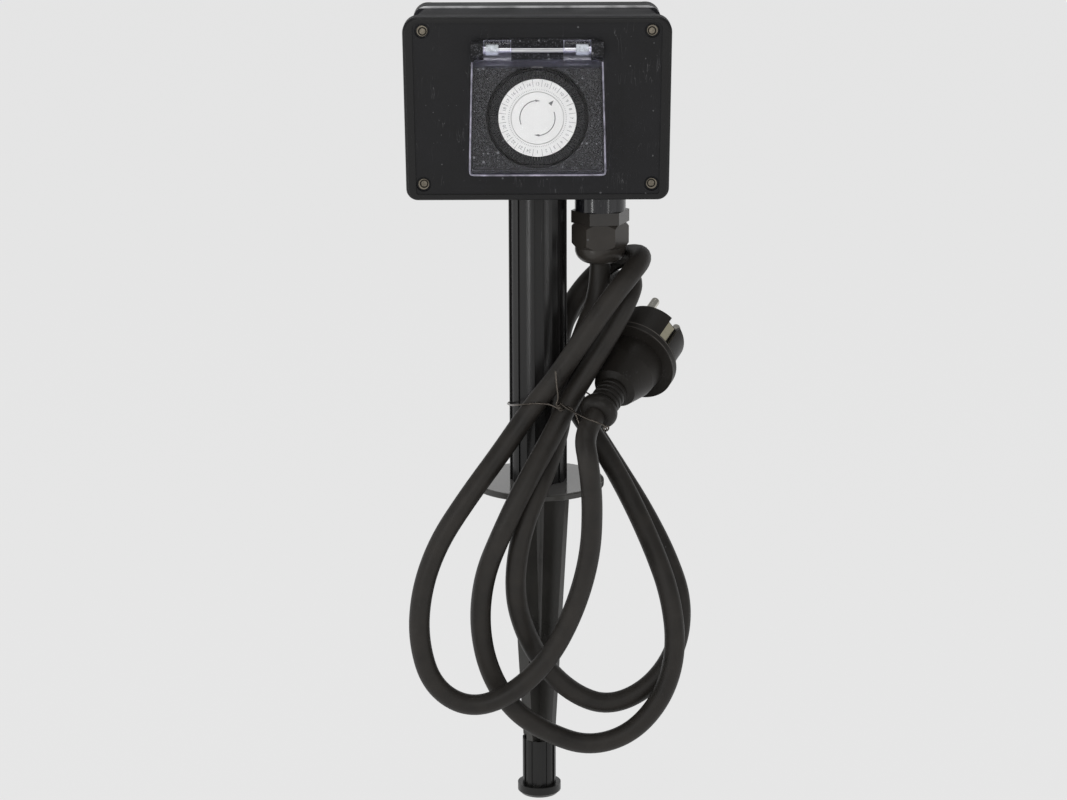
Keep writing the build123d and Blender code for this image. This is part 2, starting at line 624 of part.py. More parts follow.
def make_socket_contacts():
    made = []
    for x in (-SOCKET_X, SOCKET_X):
        for side in (-1, 1):
            place = x + side * CONTACT_PITCH / 2
            tube = rod_y(CONTACT_TUBE_DIA, place, SOCKET_Z, CUP_BACK_Y - CONTACT_LENGTH, CUP_BACK_Y)
            made.append(tube - rod_y(PLUG_PIN_DIA + 2 * SLIP_GAP, place, SOCKET_Z,
                                     CUP_BACK_Y - CONTACT_LENGTH, CUP_BACK_Y))
    return made


def make_earth_clips():
    """Two spring strips in each well, above and below the contacts."""
    made = []
    for x in (-SOCKET_X, SOCKET_X):
        for side in (-1, 1):
            low_z, high_z = sorted((SOCKET_Z + side * CLIP_SPAN / 2,
                                    SOCKET_Z + side * (CLIP_SPAN / 2 + CLIP_THICK)))
            made.append(box((x - CLIP_WIDTH / 2, WELL_FLOOR_Y, low_z),
                            (x + CLIP_WIDTH / 2, WELL_FLOOR_Y + CLIP_LENGTH, high_z)))
    return made


# Timer works
def gear_outline(teeth):
    """Involute gear outline with its first tooth on the local x axis."""
    pitch_r = GEAR_MODULE * teeth / 2
    base_r = pitch_r * cos(radians(PRESSURE_ANGLE))
    outer_r = pitch_r + ADDENDUM * GEAR_MODULE
    root_r = pitch_r - DEDENDUM * GEAR_MODULE
    half_pitch = pi / (2 * teeth) - BACKLASH / (4 * pitch_r)

    def half_tooth(radius):
        """Half of the tooth's angle at this radius."""
        roll = acos(min(1.0, base_r / radius))
        start = acos(base_r / pitch_r)
        return half_pitch + (tan(start) - start) - (tan(roll) - roll)

    inner_r = max(base_r, root_r)
    radii = [inner_r + (outer_r - inner_r) * i / 3 for i in range(4)]
    points = []
    for tooth in range(teeth):
        middle = 2 * pi * tooth / teeth
        flank = [(root_r, half_tooth(inner_r))] + [(r, half_tooth(r)) for r in radii]
        if root_r >= base_r:
            flank = flank[1:]
        for r, half in flank:
            points.append((r * cos(middle - half), r * sin(middle - half)))
        for r, half in reversed(flank):
            points.append((r * cos(middle + half), r * sin(middle + half)))
    return make_face(Polyline(*points, close=True))


def sector(inner_r, outer_r, angle, middle):
    """A flat-sided block of a ring, drawn with straight edges."""
    low, high = radians(middle - angle / 2), radians(middle + angle / 2)
    corners = [(inner_r * cos(low), inner_r * sin(low)), (outer_r * cos(low), outer_r * sin(low)),
               (outer_r * cos(high), outer_r * sin(high)), (inner_r * cos(high), inner_r * sin(high))]
    return make_face(Polyline(*corners, close=True))


def arc_slot(inner_r, outer_r, angle, middle):
    """A curved slot about the origin, with straight ends."""
    ring = Circle(outer_r) - Circle(inner_r)
    low, high = radians(middle - angle / 2), radians(middle + angle / 2)
    reach = 2 * outer_r
    wedge = make_face(Polyline((0, 0), (reach * cos(low), reach * sin(low)),
                               (reach * cos(high), reach * sin(high)), close=True))
    return ring & wedge


def make_dial_drum():
    """Drum that carries the dial: a flange with eight curved slots for the tabs, and the gear."""
    centre = Pos(0, TIMER_Z)
    drum = slab(centre * Circle(DRUM_DIA / 2), DRUM_FRONT_Y, DRUM_FLANGE_Y)
    flange = Circle(DRUM_FLANGE_DIA / 2)
    block = 360 / TAB_BLOCKS
    for i in range(TAB_BLOCKS):
        flange -= arc_slot(TAIL_INNER - FREE_GAP, TAIL_OUTER + FREE_GAP, block - SLOT_SPOKE_ANGLE,
                           i * block)
    drum += slab(centre * flange, DRUM_FLANGE_Y, DRUM_FLANGE_BACK_Y)
    drum += slab(centre * Circle(DRUM_NECK_DIA / 2), DRUM_FLANGE_BACK_Y, GEAR_FRONT_Y)
    drum += slab(centre * gear_outline(GEAR_TEETH), GEAR_FRONT_Y, GEAR_BACK_Y)
    drum += rod_y(DRUM_HUB_DIA, 0, TIMER_Z, GEAR_BACK_Y, DRUM_BACK_Y)
    return drum - rod_y(SPINDLE_DIA + 2 * RUN_GAP, 0, TIMER_Z, DRUM_FRONT_Y, DRUM_BACK_Y)


def make_dial_face():
    ring = Circle(FACE_DIA / 2) - Circle(FACE_INNER_DIA / 2)
    return slab(Pos(0, TIMER_Z) * ring, FACE_FRONT_Y, DRUM_FRONT_Y)


def make_dial_centre():
    return rod_y(CENTRE_DIA, 0, TIMER_Z, FACE_FRONT_Y, FACE_FRONT_Y + CENTRE_THICK)


def make_dial_spindle():
    return rod_y(SPINDLE_DIA, 0, TIMER_Z, FACE_FRONT_Y + CENTRE_THICK, DECK_Y)


def make_tabs(block):
    """Twelve switching tabs, three hours of the day. The third block starts over the lever."""
    made = []
    per_block = TAB_COUNT // TAB_BLOCKS
    pitch = 360 / TAB_COUNT
    centre = Pos(0, TIMER_Z)
    for i in range(per_block):
        middle = ((block - 0.5) * per_block + i + 0.5) * pitch
        tab = slab(centre * sector(TAB_INNER, TAB_OUTER, TAB_ANGLE, middle), TAB_FRONT_Y, TAB_BACK_Y)
        tab += slab(centre * sector(TAIL_INNER, TAIL_OUTER, TAIL_ANGLE, middle), TAB_BACK_Y,
                    TAIL_BACK_Y)
        made.append(tab)
    return made


def make_motor_pinion():
    """Pinion turned so that one of its gaps faces the tooth of the big gear."""
    place = Pos(0, PINION_Z) * Rot(0, 0, 90 + 180 / PINION_TEETH)
    pinion = slab(place * gear_outline(PINION_TEETH), GEAR_FRONT_Y, GEAR_BACK_Y)
    shaft_end = DECK_Y + DECK_THICK + MOTOR_DEPTH / 2
    return pinion + rod_y(PINION_SHAFT_DIA, 0, PINION_Z, GEAR_BACK_Y, shaft_end)


def make_timer_motor():
    front, back = DECK_Y + DECK_THICK, DECK_Y + DECK_THICK + MOTOR_DEPTH
    motor = rod_y(MOTOR_DIA, 0, TIMER_Z - MOTOR_DROP, front, back)
    return motor - rod_y(PINION_SHAFT_DIA + 2 * RUN_GAP, 0, PINION_Z, front, front + MOTOR_DEPTH / 2)


def case_outline(inset):
    size = (2 * (CASE_HALF - inset), CASE_TOP_Z - CASE_FOOT_Z - 2 * inset)
    return Pos(0, (CASE_TOP_Z + CASE_FOOT_Z) / 2) * Rectangle(*size)


def make_timer_case():
    back = PANEL_BACK_Y + CASE_DEPTH
    case = slab(case_outline(0), PANEL_BACK_Y, back)
    return case - slab(case_outline(CASE_WALL), PANEL_BACK_Y, back - CASE_WALL)


def make_timer_deck():
    deck = slab(case_outline(CASE_WALL), DECK_Y, DECK_Y + DECK_THICK)
    return deck - rod_y(PINION_SHAFT_DIA + 2 * FREE_GAP, 0, PINION_Z, DECK_Y, DECK_Y + DECK_THICK)


def make_microswitch():
    """Switch body on the deck, with two ears for the lever's axle."""
    half = SWITCH_WIDTH / 2
    body = box((-half, DECK_Y - SWITCH_DEPTH, SWITCH_FOOT_Z),
               (half, DECK_Y, SWITCH_FOOT_Z + SWITCH_HEIGHT))
    r = LEVER_BARREL_DIA / 2
    for side in (-1, 1):
        inner = side * (LEVER_WIDTH / 2 + FREE_GAP)
        low_x, high_x = sorted((inner, inner + side * EAR_THICK))
        body += rod_x(2 * r, LEVER_Y, LEVER_Z, low_x, high_x)
        body += box((low_x, LEVER_Y - r, LEVER_Z), (high_x, LEVER_Y + r, SWITCH_FOOT_Z))
        body -= rod_x(LEVER_AXLE_DIA + 2 * RUN_GAP, LEVER_Y, LEVER_Z, low_x, high_x)
    return body


def make_switch_lever():
    half = LEVER_WIDTH / 2
    lever = box((-half, LEVER_FRONT_Y, LEVER_TIP_Z), (half, LEVER_FRONT_Y + LEVER_THICK, LEVER_Z))
    lever += rod_x(LEVER_BARREL_DIA, LEVER_Y, LEVER_Z, -half, half)
    reach = half + FREE_GAP + EAR_THICK
    return lever + rod_x(LEVER_AXLE_DIA, LEVER_Y, LEVER_Z, -reach, reach)


# Post, spike and tip guard
def post_screw_hole(z):
    depth = POST_DIA / 2 - POST_SCREW_DEPTH
    hole = Plane.XZ.offset(-POST_DIA) * Pos(0, z) * Circle(POST_SCREW_DIA / 2 + RUN_GAP)
    return extrude(hole, amount=POST_DIA - depth)


def post_screw_places():
    return BOX_FOOT_Z - POST_SCREW_INSET, DISC_THICK + POST_SCREW_INSET


def make_post_tube():
    """Ribbed tube from the ground disc to the box."""
    outer = Circle(POST_DIA / 2)
    groove_r = POST_DIA / 2 - POST_RIB_DEPTH
    groove = sector(groove_r, POST_DIA, POST_GROOVE_ANGLE, 0)
    for copy in ring_pattern(groove, POST_RIBS, 90 + POST_TURN):
        outer -= copy
    tube = column(outer - Circle(POST_BORE / 2), DISC_THICK, BOX_FOOT_Z)
    for z in post_screw_places():
        tube -= post_screw_hole(z)
    return tube


def make_post_screws():
    made = []
    seat = POST_DIA / 2
    for z in post_screw_places():
        screw = rod_y(POST_SCREW_HEAD_DIA, 0, z, seat, seat + POST_SCREW_HEAD)
        made.append(screw + rod_y(POST_SCREW_DIA, 0, z, seat - POST_SCREW_DEPTH, seat))
    return made


def make_ground_spike():
    """Ground disc with the post's spigot above it and a four-finned spike below."""
    disc = column(Circle(DISC_DIA / 2), 0, DISC_THICK)
    disc = fillet(disc.edges().filter_by(GeomType.CIRCLE), DISC_EDGE)
    spigot = Circle(POST_BORE / 2 - SLIP_GAP) - Circle(POST_BORE / 2 - SLIP_GAP - POST_SPIGOT_WALL)
    disc += column(spigot, DISC_THICK, DISC_THICK + POST_SPIGOT_LENGTH)
    disc -= post_screw_hole(DISC_THICK + POST_SCREW_INSET)
    end = SPIKE_LENGTH + TIP_LENGTH
    fin = make_face(Polyline(
        (-SPIKE_FIN_TOP, 0), (SPIKE_FIN_TOP, 0), (SPIKE_FIN_FOOT, -SPIKE_LENGTH),
        (TIP_REACH, -SPIKE_LENGTH), (TIP_POINT, -end), (-TIP_POINT, -end),
        (-TIP_REACH, -SPIKE_LENGTH), (-SPIKE_FIN_FOOT, -SPIKE_LENGTH), close=True))
    half = SPIKE_FIN_THICK / 2
    spike = disc
    for turn in (45, 135):
        spike += Rot(0, 0, turn + SPIKE_TURN) * slab(fin, -half, half)
    core = make_face(Polyline((0, 0), (SPIKE_CORE_DIA / 2 + half, 0),
                              (SPIKE_CORE_DIA / 2, -GUSSET_HEIGHT), (half, -SPIKE_LENGTH),
                              (0, -SPIKE_LENGTH), close=True))
    return spike + revolve(Plane.XZ * core, Axis.Z)


def make_tip_guard():
    """Fluted cap that covers the spike's point until it is set in the ground."""
    top = -SPIKE_LENGTH - FREE_GAP
    foot = top - GUARD_LENGTH
    body = Circle(GUARD_DIA / 2)
    flute_r = GUARD_DIA / 2 - GUARD_FLUTE_DEPTH
    for copy in ring_pattern(sector(flute_r, GUARD_DIA, 180 / GUARD_FLUTES, 0), GUARD_FLUTES):
        body -= copy
    guard = column(body, foot + GUARD_FLANGE_THICK, top)
    flange = column(Circle(GUARD_FLANGE_DIA / 2), foot, foot + GUARD_FLANGE_THICK)
    foot_edge = flange.edges().filter_by(GeomType.CIRCLE).sort_by(Axis.Z)[0]
    guard += chamfer(foot_edge, GUARD_BEVEL)
    bore = GUARD_DIA / 2 - GUARD_WALL
    return guard - column(Circle(bore), -SPIKE_LENGTH - TIP_LENGTH - 1, top)


# Gland
def hexagon(across_flats):
    return RegularPolygon(across_flats / sqrt(3), 6)


def make_gland_body():
    place = Pos(GLAND_X, 0)
    collar = Rot(0, 0, GLAND_COLLAR_TURN) * hexagon(GLAND_HEX)
    body = column(place * collar, COLLAR_FOOT_Z, GLAND_FOOT_Z)
    body += column(place * Circle(GLAND_THREAD_DIA / 2), GLAND_FOOT_Z, FLOOR_Z + LOCK_NUT + 1)
    body += column(place * Circle(GLAND_NECK_DIA / 2), COLLAR_FOOT_Z - GLAND_NECK, COLLAR_FOOT_Z)
    return body - column(place * Circle(GLAND_BORE_DIA / 2), NUT_FOOT_Z, FLOOR_Z + LOCK_NUT + 1)


def make_gland_nut():
    """Hexagon nut that runs out into a dome round the lead."""
    place = Pos(GLAND_X, 0)
    hex_foot = NUT_TOP_Z - GLAND_NUT_HEX_LENGTH
    corner = GLAND_NUT_HEX / sqrt(3)
    flat = GLAND_NUT_HEX / 2
    chamfer_size = corner - flat
    turned = make_face(
        Polyline((0, NUT_TOP_Z), (flat + GLAND_FACE, NUT_TOP_Z), (corner, NUT_TOP_Z - chamfer_size),
                 (corner, hex_foot), (GLAND_DOME_DIA / 2, hex_foot - chamfer_size))
        + ThreePointArc((GLAND_DOME_DIA / 2, hex_foot - chamfer_size),
                        (GLAND_DOME_DIA / 2 - GLAND_DOME_BULGE[0],
                         (hex_foot + NUT_FOOT_Z) / 2 - GLAND_DOME_BULGE[1]),
                        (GLAND_MOUTH_DIA / 2, NUT_FOOT_Z))
        + Polyline((GLAND_MOUTH_DIA / 2, NUT_FOOT_Z), (0, NUT_FOOT_Z), (0, NUT_TOP_Z)))
    dome = Pos(GLAND_X, 0, 0) * revolve(Plane.XZ * turned, Axis.Z)
    upper = column(place * hexagon(GLAND_NUT_HEX), hex_foot - chamfer_size, NUT_TOP_Z)
    lower = column(place * Circle(corner), NUT_FOOT_Z, hex_foot - chamfer_size)
    nut = (dome & upper) + (dome & lower)
    neck_foot = COLLAR_FOOT_Z - GLAND_NECK
    nut -= column(place * Circle(GLAND_NECK_DIA / 2 + SLIP_GAP), neck_foot, NUT_TOP_Z)
    nut -= column(place * Circle(SEAL_RING_DIA / 2 + SLIP_GAP), NUT_FOOT_Z + GLAND_LIP, neck_foot)
    return nut - column(place * Circle(GLAND_EXIT_DIA / 2), NUT_FOOT_Z, NUT_FOOT_Z + GLAND_LIP)


def make_gland_seal():
    ring = Circle(SEAL_RING_DIA / 2) - Circle(CORD_DIA / 2 + SLIP_GAP)
    return column(Pos(GLAND_X, 0) * ring, NUT_FOOT_Z + GLAND_LIP, COLLAR_FOOT_Z - GLAND_NECK)


def make_gland_lock_nut():
    ring = hexagon(LOCK_NUT_HEX) - Circle(GLAND_THREAD_DIA / 2 + SLIP_GAP)
    return column(Pos(GLAND_X, 0) * ring, FLOOR_Z, FLOOR_Z + LOCK_NUT)


# Lead inside the box
def make_cord_entry():
    return column(Pos(GLAND_X, 0) * Circle(CORD_DIA / 2), NUT_FOOT_Z, FLOOR_Z + CORD_INSIDE_TOP)


def make_terminal_block():
    half = BLOCK_DEPTH / 2
    return box((BLOCK_LEFT_X, -half, FLOOR_Z), (BLOCK_RIGHT_X, half, FLOOR_Z + BLOCK_HEIGHT))


def make_terminal_screws():
    made = []
    pitch = (BLOCK_RIGHT_X - BLOCK_LEFT_X) / BLOCK_SCREWS
    top = FLOOR_Z + BLOCK_HEIGHT
    for i in range(BLOCK_SCREWS):
        place = Pos(BLOCK_LEFT_X + (i + 0.5) * pitch, 0)
        made.append(column(place * Circle(BLOCK_SCREW_DIA / 2), top, top + BLOCK_SCREW_HEAD))
    return made


def make_core_wires():
    """Three insulated cores from the lead's end to the side of the terminal block."""
    made = []
    start_z = FLOOR_Z + CORD_INSIDE_TOP
    for i in (-1, 0, 1):
        y = i * CORE_OFFSET
        path = FilletPolyline((GLAND_X, y, start_z), (GLAND_X, y, start_z + CORE_RISE),
                              ((GLAND_X + BLOCK_RIGHT_X) / 2, y, start_z + CORE_RISE),
                              ((GLAND_X + BLOCK_RIGHT_X) / 2, y, FLOOR_Z + BLOCK_HEIGHT / 2),
                              (BLOCK_RIGHT_X, y, FLOOR_Z + BLOCK_HEIGHT / 2), radius=CORE_BEND)
        made.append(sweep(Plane(path @ 0, z_dir=path % 0) * Circle(CORE_DIA / 2), path=path))
    return made


# Lead outside the box
def bend_radius(before, point, after):
    """Radius at a point of the route: 0.45 of the shorter run over the tangent of half the turn."""
    one, two = point - before, after - point
    half_turn = radians(one.get_angle(two)) / 2
    return 0.45 * min(one.length, two.length) / tan(half_turn)


def route_radii(points):
    return [bend_radius(a, b, c) for a, b, c in zip(points, points[1:], points[2:])]


def tube(points, radii, diameter):
    path = FilletPolyline(*points, radius=radii)
    solid = sweep(Plane(path @ 0, z_dir=path % 0) * Circle(diameter / 2), path=path)
    return path, solid


def make_lead():
    """The lead from the gland to the plug, as an exit stretch and the tied loops."""
    route = [Vector(*p) for p in EXIT_ROUTE + HANK_ROUTE]
    radii = route_radii(route)
    split = len(EXIT_ROUTE)
    join = (route[split - 1] + route[split]) / 2
    first = tube(route[:split] + [join], radii[:split - 1], CORD_DIA)
    second = tube([join] + route[split:], radii[split - 1:], CORD_DIA)
    return radii, first, second


def make_tie_wire():
    """Bare wire round the post, the lead's strands and the plug's neck, its ends twisted out."""
    points = [Vector(*p) for p in TIE_ROUTE]
    radii = [min(TIE_BEND, r) for r in route_radii(points)]
    return tube(points, radii, TIE_DIA)[1]


# Plug
def plug_place(t=0.0):
    side = PLUG_SLOT_SIDE - PLUG_AXIS * PLUG_SLOT_SIDE.dot(PLUG_AXIS)
    return Plane(PLUG_START + PLUG_AXIS * t, x_dir=side, z_dir=PLUG_AXIS)


def plug_profile():
    """Half outline of the plug's body, as radius and distance along its axis."""
    ring, waist, bulb = RELIEF_RING_DIA / 2, RELIEF_WAIST_DIA / 2, RELIEF_BULB_DIA / 2
    pitch = (RELIEF_LENGTH - BULB_LENGTH) / RELIEF_RINGS
    outline_points = [(waist, BULB_LENGTH)]
    for i in range(RELIEF_RINGS):
        start = BULB_LENGTH + i * pitch
        outline_points += [(ring, start + 0.3 * pitch), (ring, start + 0.8 * pitch),
                           (waist, start + pitch)]
    outline_points += [(GRIP_NECK_DIA / 2, RELIEF_LENGTH + 2), (GRIP_DIA / 2, GRIP_END),
                       (GRIP_DIA / 2 + 1, COLLAR_START), (COLLAR_DIA / 2, COLLAR_START),
                       (COLLAR_DIA / 2, NOSE_START), (NOSE_DIA / 2, NOSE_START),
                       (NOSE_DIA / 2, NOSE_END - 1), (NOSE_DIA / 2 - 1, NOSE_END), (0, NOSE_END),
                       (0, 0), (CORD_DIA / 2, 0)]
    ball = ThreePointArc((CORD_DIA / 2, 0), (bulb, BULB_LENGTH / 2), (waist, BULB_LENGTH))
    return make_face(ball + Polyline(*outline_points))


def make_plug_body():
    turned = revolve(Plane.XZ * plug_profile(), Axis.Z)
    slot_floor = NOSE_DIA / 2 - PLUG_SLOT_DEPTH
    for side in (-1, 1):
        low_x, high_x = sorted((side * slot_floor, side * NOSE_DIA))
        turned -= box((low_x, -PLUG_SLOT_WIDTH / 2, NOSE_START), (high_x, PLUG_SLOT_WIDTH / 2,
                                                                NOSE_END))
    return plug_place().location * turned


def make_plug_pins():
    made = []
    for side in (-1, 1):
        pin = Pos(0, side * CONTACT_PITCH / 2, NOSE_END) * Cylinder(
            PLUG_PIN_DIA / 2, PLUG_PIN_LENGTH, align=(Align.CENTER, Align.CENTER, Align.MIN))
        tip = pin.edges().filter_by(GeomType.CIRCLE).sort_by(Axis.Z)[-1]
        made.append(plug_place().location * fillet(tip, PLUG_PIN_DIA / 3))
    return made


def make_plug_earth_contacts():
    made = []
    seat = NOSE_DIA / 2 - PLUG_SLOT_DEPTH
    for side in (-1, 1):
        low_x, high_x = sorted((side * seat, side * (seat + EARTH_THICK)))
        strip = box((low_x, -EARTH_WIDTH / 2, NOSE_START), (high_x, EARTH_WIDTH / 2,
                                                            NOSE_START + EARTH_LENGTH))
        made.append(plug_place().location * strip)
    return made


def least_gap(path, diameter):
    """Smallest gap between stretches of the tube that lie over three diameters apart along it."""
    count = int(path.length / 4)
    points = [path @ (i / count) for i in range(count + 1)]
    step = path.length / count
    apart = int(3 * diameter / step)
    least = 1e9
    for i in range(len(points)):
        for j in range(i + apart, len(points)):
            least = min(least, (points[i] - points[j]).length)
    return least - diameter


def solids_of(shape):
    if isinstance(shape, list):
        return [s for part in shape for s in part.solids()]
    return list(shape.solids())


def write(node, shape):
    solids = solids_of(shape)
    for solid in solids:
        if not solid.is_valid:
            print("not valid:", node)
    whole = solids[0] if len(solids) == 1 else Compound(solids)
    export_step(whole, f"parts/{node}.step")


def main():
    os.makedirs("parts", exist_ok=True)
    sink_y = COVER_FACE_Y + SCREW_SINK
    rear_sink_y = BOX_BACK_Y - SCREW_SINK
    radii, exit_stretch, hank = make_lead()
    nodes = {
        "front_cover": make_front_cover(),
        "timer_panel": make_timer_panel(),
        "timer_flap": make_timer_flap(),
        "flap_hinge_pin": make_flap_pin(),
        "cover_screws": screws(sink_y, HOUSING_FRONT_Y + SCREW_GRIP, -1),
        "cover_seal": make_cover_seal(),
        "main_housing": make_main_housing(),
        "rear_seal": make_rear_seal(),
        "rear_cover": make_rear_cover(),
        "rear_screws": screws(rear_sink_y, HOUSING_BACK_Y - SCREW_GRIP, 1),
        "socket_insert_left": make_socket_insert(-SOCKET_X),
        "socket_insert_right": make_socket_insert(SOCKET_X),
        "socket_lid_left": make_socket_lid(-SOCKET_X),
        "socket_lid_right": make_socket_lid(SOCKET_X),
        "lid_pins": make_lid_pins(),
        "socket_contacts": make_socket_contacts(),
        "earth_clips": make_earth_clips(),
        "dial_drum": make_dial_drum(),
        "dial_face": make_dial_face(),
        "dial_centre": make_dial_centre(),
        "dial_spindle": make_dial_spindle(),
        "motor_pinion": make_motor_pinion(),
        "timer_motor": make_timer_motor(),
        "timer_case": make_timer_case(),
        "timer_deck": make_timer_deck(),
        "microswitch": make_microswitch(),
        "switch_lever": make_switch_lever(),
        "post_tube": make_post_tube(),
        "post_screws": make_post_screws(),
        "ground_spike": make_ground_spike(),
        "tip_guard": make_tip_guard(),
        "gland_body": make_gland_body(),
        "gland_nut": make_gland_nut(),
        "gland_seal": make_gland_seal(),
        "gland_lock_nut": make_gland_lock_nut(),
        "supply_cord_entry": make_cord_entry(),
        "terminal_block": make_terminal_block(),
        "terminal_screws": make_terminal_screws(),
        "core_wires": make_core_wires(),
        "supply_cord_exit": exit_stretch[1],
        "supply_cord_hank": hank[1],
        "tie_wire": make_tie_wire(),
        "plug_body": make_plug_body(),
        "plug_pins": make_plug_pins(),
        "plug_earth_contacts": make_plug_earth_contacts(),
    }
    for block in range(TAB_BLOCKS):
        nodes[f"hour_tabs_{block + 1}"] = make_tabs(block)
    for node, shape in nodes.items():
        write(node, shape)
    print("lead radii:", " ".join(f"{r:.0f}" for r in radii))
    for name, (path, solid) in (("exit", exit_stretch), ("hank", hank)):
        share = solid.volume / (pi * CORD_DIA ** 2 / 4 * path.length)
        print(f"lead {name}: length {path.length:.0f} mm, volume share {share:.4f}")
    print(f"hank's least gap to itself: {least_gap(hank[0], CORD_DIA):.2f} mm")


if __name__ == "__main__":
    main()
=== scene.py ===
"""Looks of a garden socket post with a day timer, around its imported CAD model.

The file is laid out as an add-on and run as a script. Every size is in metres in the row frame of
the model: the origin is under the ground disc, +Z is up and the timer faces -Y.
"""

import math

import bmesh
import bpy
from bpy.props import FloatProperty, FloatVectorProperty, IntProperty, PointerProperty
from mathutils import Matrix, Vector


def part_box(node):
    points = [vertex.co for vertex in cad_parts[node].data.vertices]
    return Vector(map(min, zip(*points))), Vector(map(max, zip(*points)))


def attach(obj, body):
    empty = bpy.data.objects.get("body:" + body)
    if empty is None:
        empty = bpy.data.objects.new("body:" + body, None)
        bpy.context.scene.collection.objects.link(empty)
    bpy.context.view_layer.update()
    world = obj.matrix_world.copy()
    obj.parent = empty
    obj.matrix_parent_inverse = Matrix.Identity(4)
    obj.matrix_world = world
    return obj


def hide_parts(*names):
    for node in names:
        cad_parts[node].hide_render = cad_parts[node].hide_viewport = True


bl_info = {
    "name": "Garden Socket Post",
    "version": (1, 0, 0),
    "blender": (4, 5, 0),
    "location": "3D View > Sidebar > Socket Post",
    "description": "Dresses a garden socket post with its timer dial, lead, tie wire and finishes",
    "category": "Object",
}

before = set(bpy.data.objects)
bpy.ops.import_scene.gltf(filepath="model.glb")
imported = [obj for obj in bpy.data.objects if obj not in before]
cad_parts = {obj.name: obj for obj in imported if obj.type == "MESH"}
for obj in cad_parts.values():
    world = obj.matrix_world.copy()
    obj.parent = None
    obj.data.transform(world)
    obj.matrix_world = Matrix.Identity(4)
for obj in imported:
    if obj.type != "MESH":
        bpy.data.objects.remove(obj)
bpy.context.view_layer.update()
MM = 0.001
# The floor lies below the tip guard when it is pulled off
GUARD_TRAVEL, FLOOR_GAP = 0.035, 0.001
FLOOR_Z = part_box("tip_guard")[0].z - GUARD_TRAVEL - FLOOR_GAP

# The lead's route in millimetres, as in the part's source
LEAD_ROUTE = [
    (33, 0, 122), (33, 0, 106), (24, -13, 86), (14, -17.5, 60),
    (11.5, -22.5, 36), (2, -39, 13), (-8, -46, -9), (-13, -42, -38), (-11, -32, -64), (0, -24, -92),
    (18, -20, -112), (38, -18, -120), (60, -14, -111), (75, -11, -90), (78, -5, -65), (70, 4, -42),
    (57, 14, -18), (42, 25, 4), (24.5, 35, 30), (12, 36.5, 55), (12, 35, 79), (22, 34, 95),
    (36, 34.5, 104.5), (46.5, 19, 108), (49.5, -4, 114), (49.5, -18, 111), (43.5, -24, 99),
    (31, -24.5, 77), (17, -30, 55), (7, -37, 36), (-8, -50, 12), (-19, -53, -11), (-29, -43, -38),
    (-32, -34, -68), (-27, -30, -96), (-14, -30, -118), (5, -30, -131), (27, -29, -139),
    (50, -28, -132), (67, -26, -112), (74, -24, -86), (71, -18, -58), (62, -7, -34), (49, 8, -8),
    (34, 18, 17), (16, 25, 42), (10, 22.5, 68), (16, 22, 92), (29, 21.5, 110), (43.5, 17, 121.5),
    (53.5, 1, 126), (54.5, -16, 126.5), (49, -30, 122.5), (36.5, -36.5, 108), (22.5, -36, 87),
    (9, -33, 66), (-4, -31, 49.5), (-19, -37, 28.5), (-37, -47, 6),
    (-53, -47, -19), (-62, -47, -45), (-64, -47, -72), (-57, -47, -98), (-38, -46, -111),
    (-16, -44.5, -105), (5, -44, -85), (19, -47, -56), (27, -54, -24), (28, -61, 6),
    (26, -65.5, 28), (23.1, -57.2, 43), (29.5, -45, 49),
]
# The tie's route round the post and the strands, from one side of its knot to the other
TIE_ROUTE = [
    (6.5, -39.5, 54.1), (1.5, -38.2, 54.2), (-4, -37.6, 54.1), (-10, -34.5, 52.6), (-14, -25, 50),
    (-16, -12, 47.5), (-16.4, 0, 45), (-13.5, 12, 44), (-6, 25, 43.5), (3, 38, 43), (11, 43.6, 43),
    (19, 43.4, 42.5), (25.5, 39.5, 42), (30, 28, 41.5), (32, 10, 40), (33, -12, 39),
    (34.2, -32, 39.5), (34.6, -46, 41.5), (34.4, -53.5, 43), (36, -57, 44.6), (36.4, -58.2, 46.8),
    (34.2, -58.6, 47), (33.6, -58.4, 45), (35.2, -59.5, 44.6), (34.8, -61, 47.6), (30.5, -62, 49.9),
    (25.5, -60, 51.2), (20.5, -53.5, 52.2), (15.6, -44.5, 52.6),
]
TIE_KNOT = (11.2, -40.4, 53.0)
TIE_TAIL_UP = [(10.6, -41.6, 58), (9.6, -42, 64), (9.0, -42.2, 72.5)]
TIE_TAIL_DOWN = [(15.4, -43.4, 54.4), (18.6, -46.6, 52), (20.4, -48.2, 48.5), (21.4, -49.3, 45.4)]
# The knot's two strands wind round a slanted line, with so many points in each turn
KNOT_AXIS, KNOT_LENGTH, KNOT_RADIUS, KNOT_POINTS = (-0.45, -0.35, 0.82), 4.4, 1.15, 8


# Settings a user would change
class CaseSettings(bpy.types.PropertyGroup):
    cover: FloatVectorProperty(
        name="Cover", description="Colour of the box's moulded covers", subtype="COLOR",
        default=(0.0072, 0.0072, 0.0102), min=0, max=1)
    panel: FloatVectorProperty(
        name="Panel", description="Colour of the grained timer panel", subtype="COLOR",
        default=(0.013, 0.013, 0.0145), min=0, max=1)
    dust: FloatProperty(
        name="Dust", description="Share of the surface's cells that hold a speck of dust",
        default=0.14, min=0, max=1, subtype="FACTOR")
    grain: FloatProperty(
        name="Grain", description="Height of the moulded grain", default=0.00006, min=0,
        max=0.001, unit="LENGTH", precision=6)


class FlapSettings(bpy.types.PropertyGroup):
    tint: FloatVectorProperty(
        name="Tint", description="Colour of the clear flap", subtype="COLOR",
        default=(0.83, 0.82, 0.98), min=0, max=1)


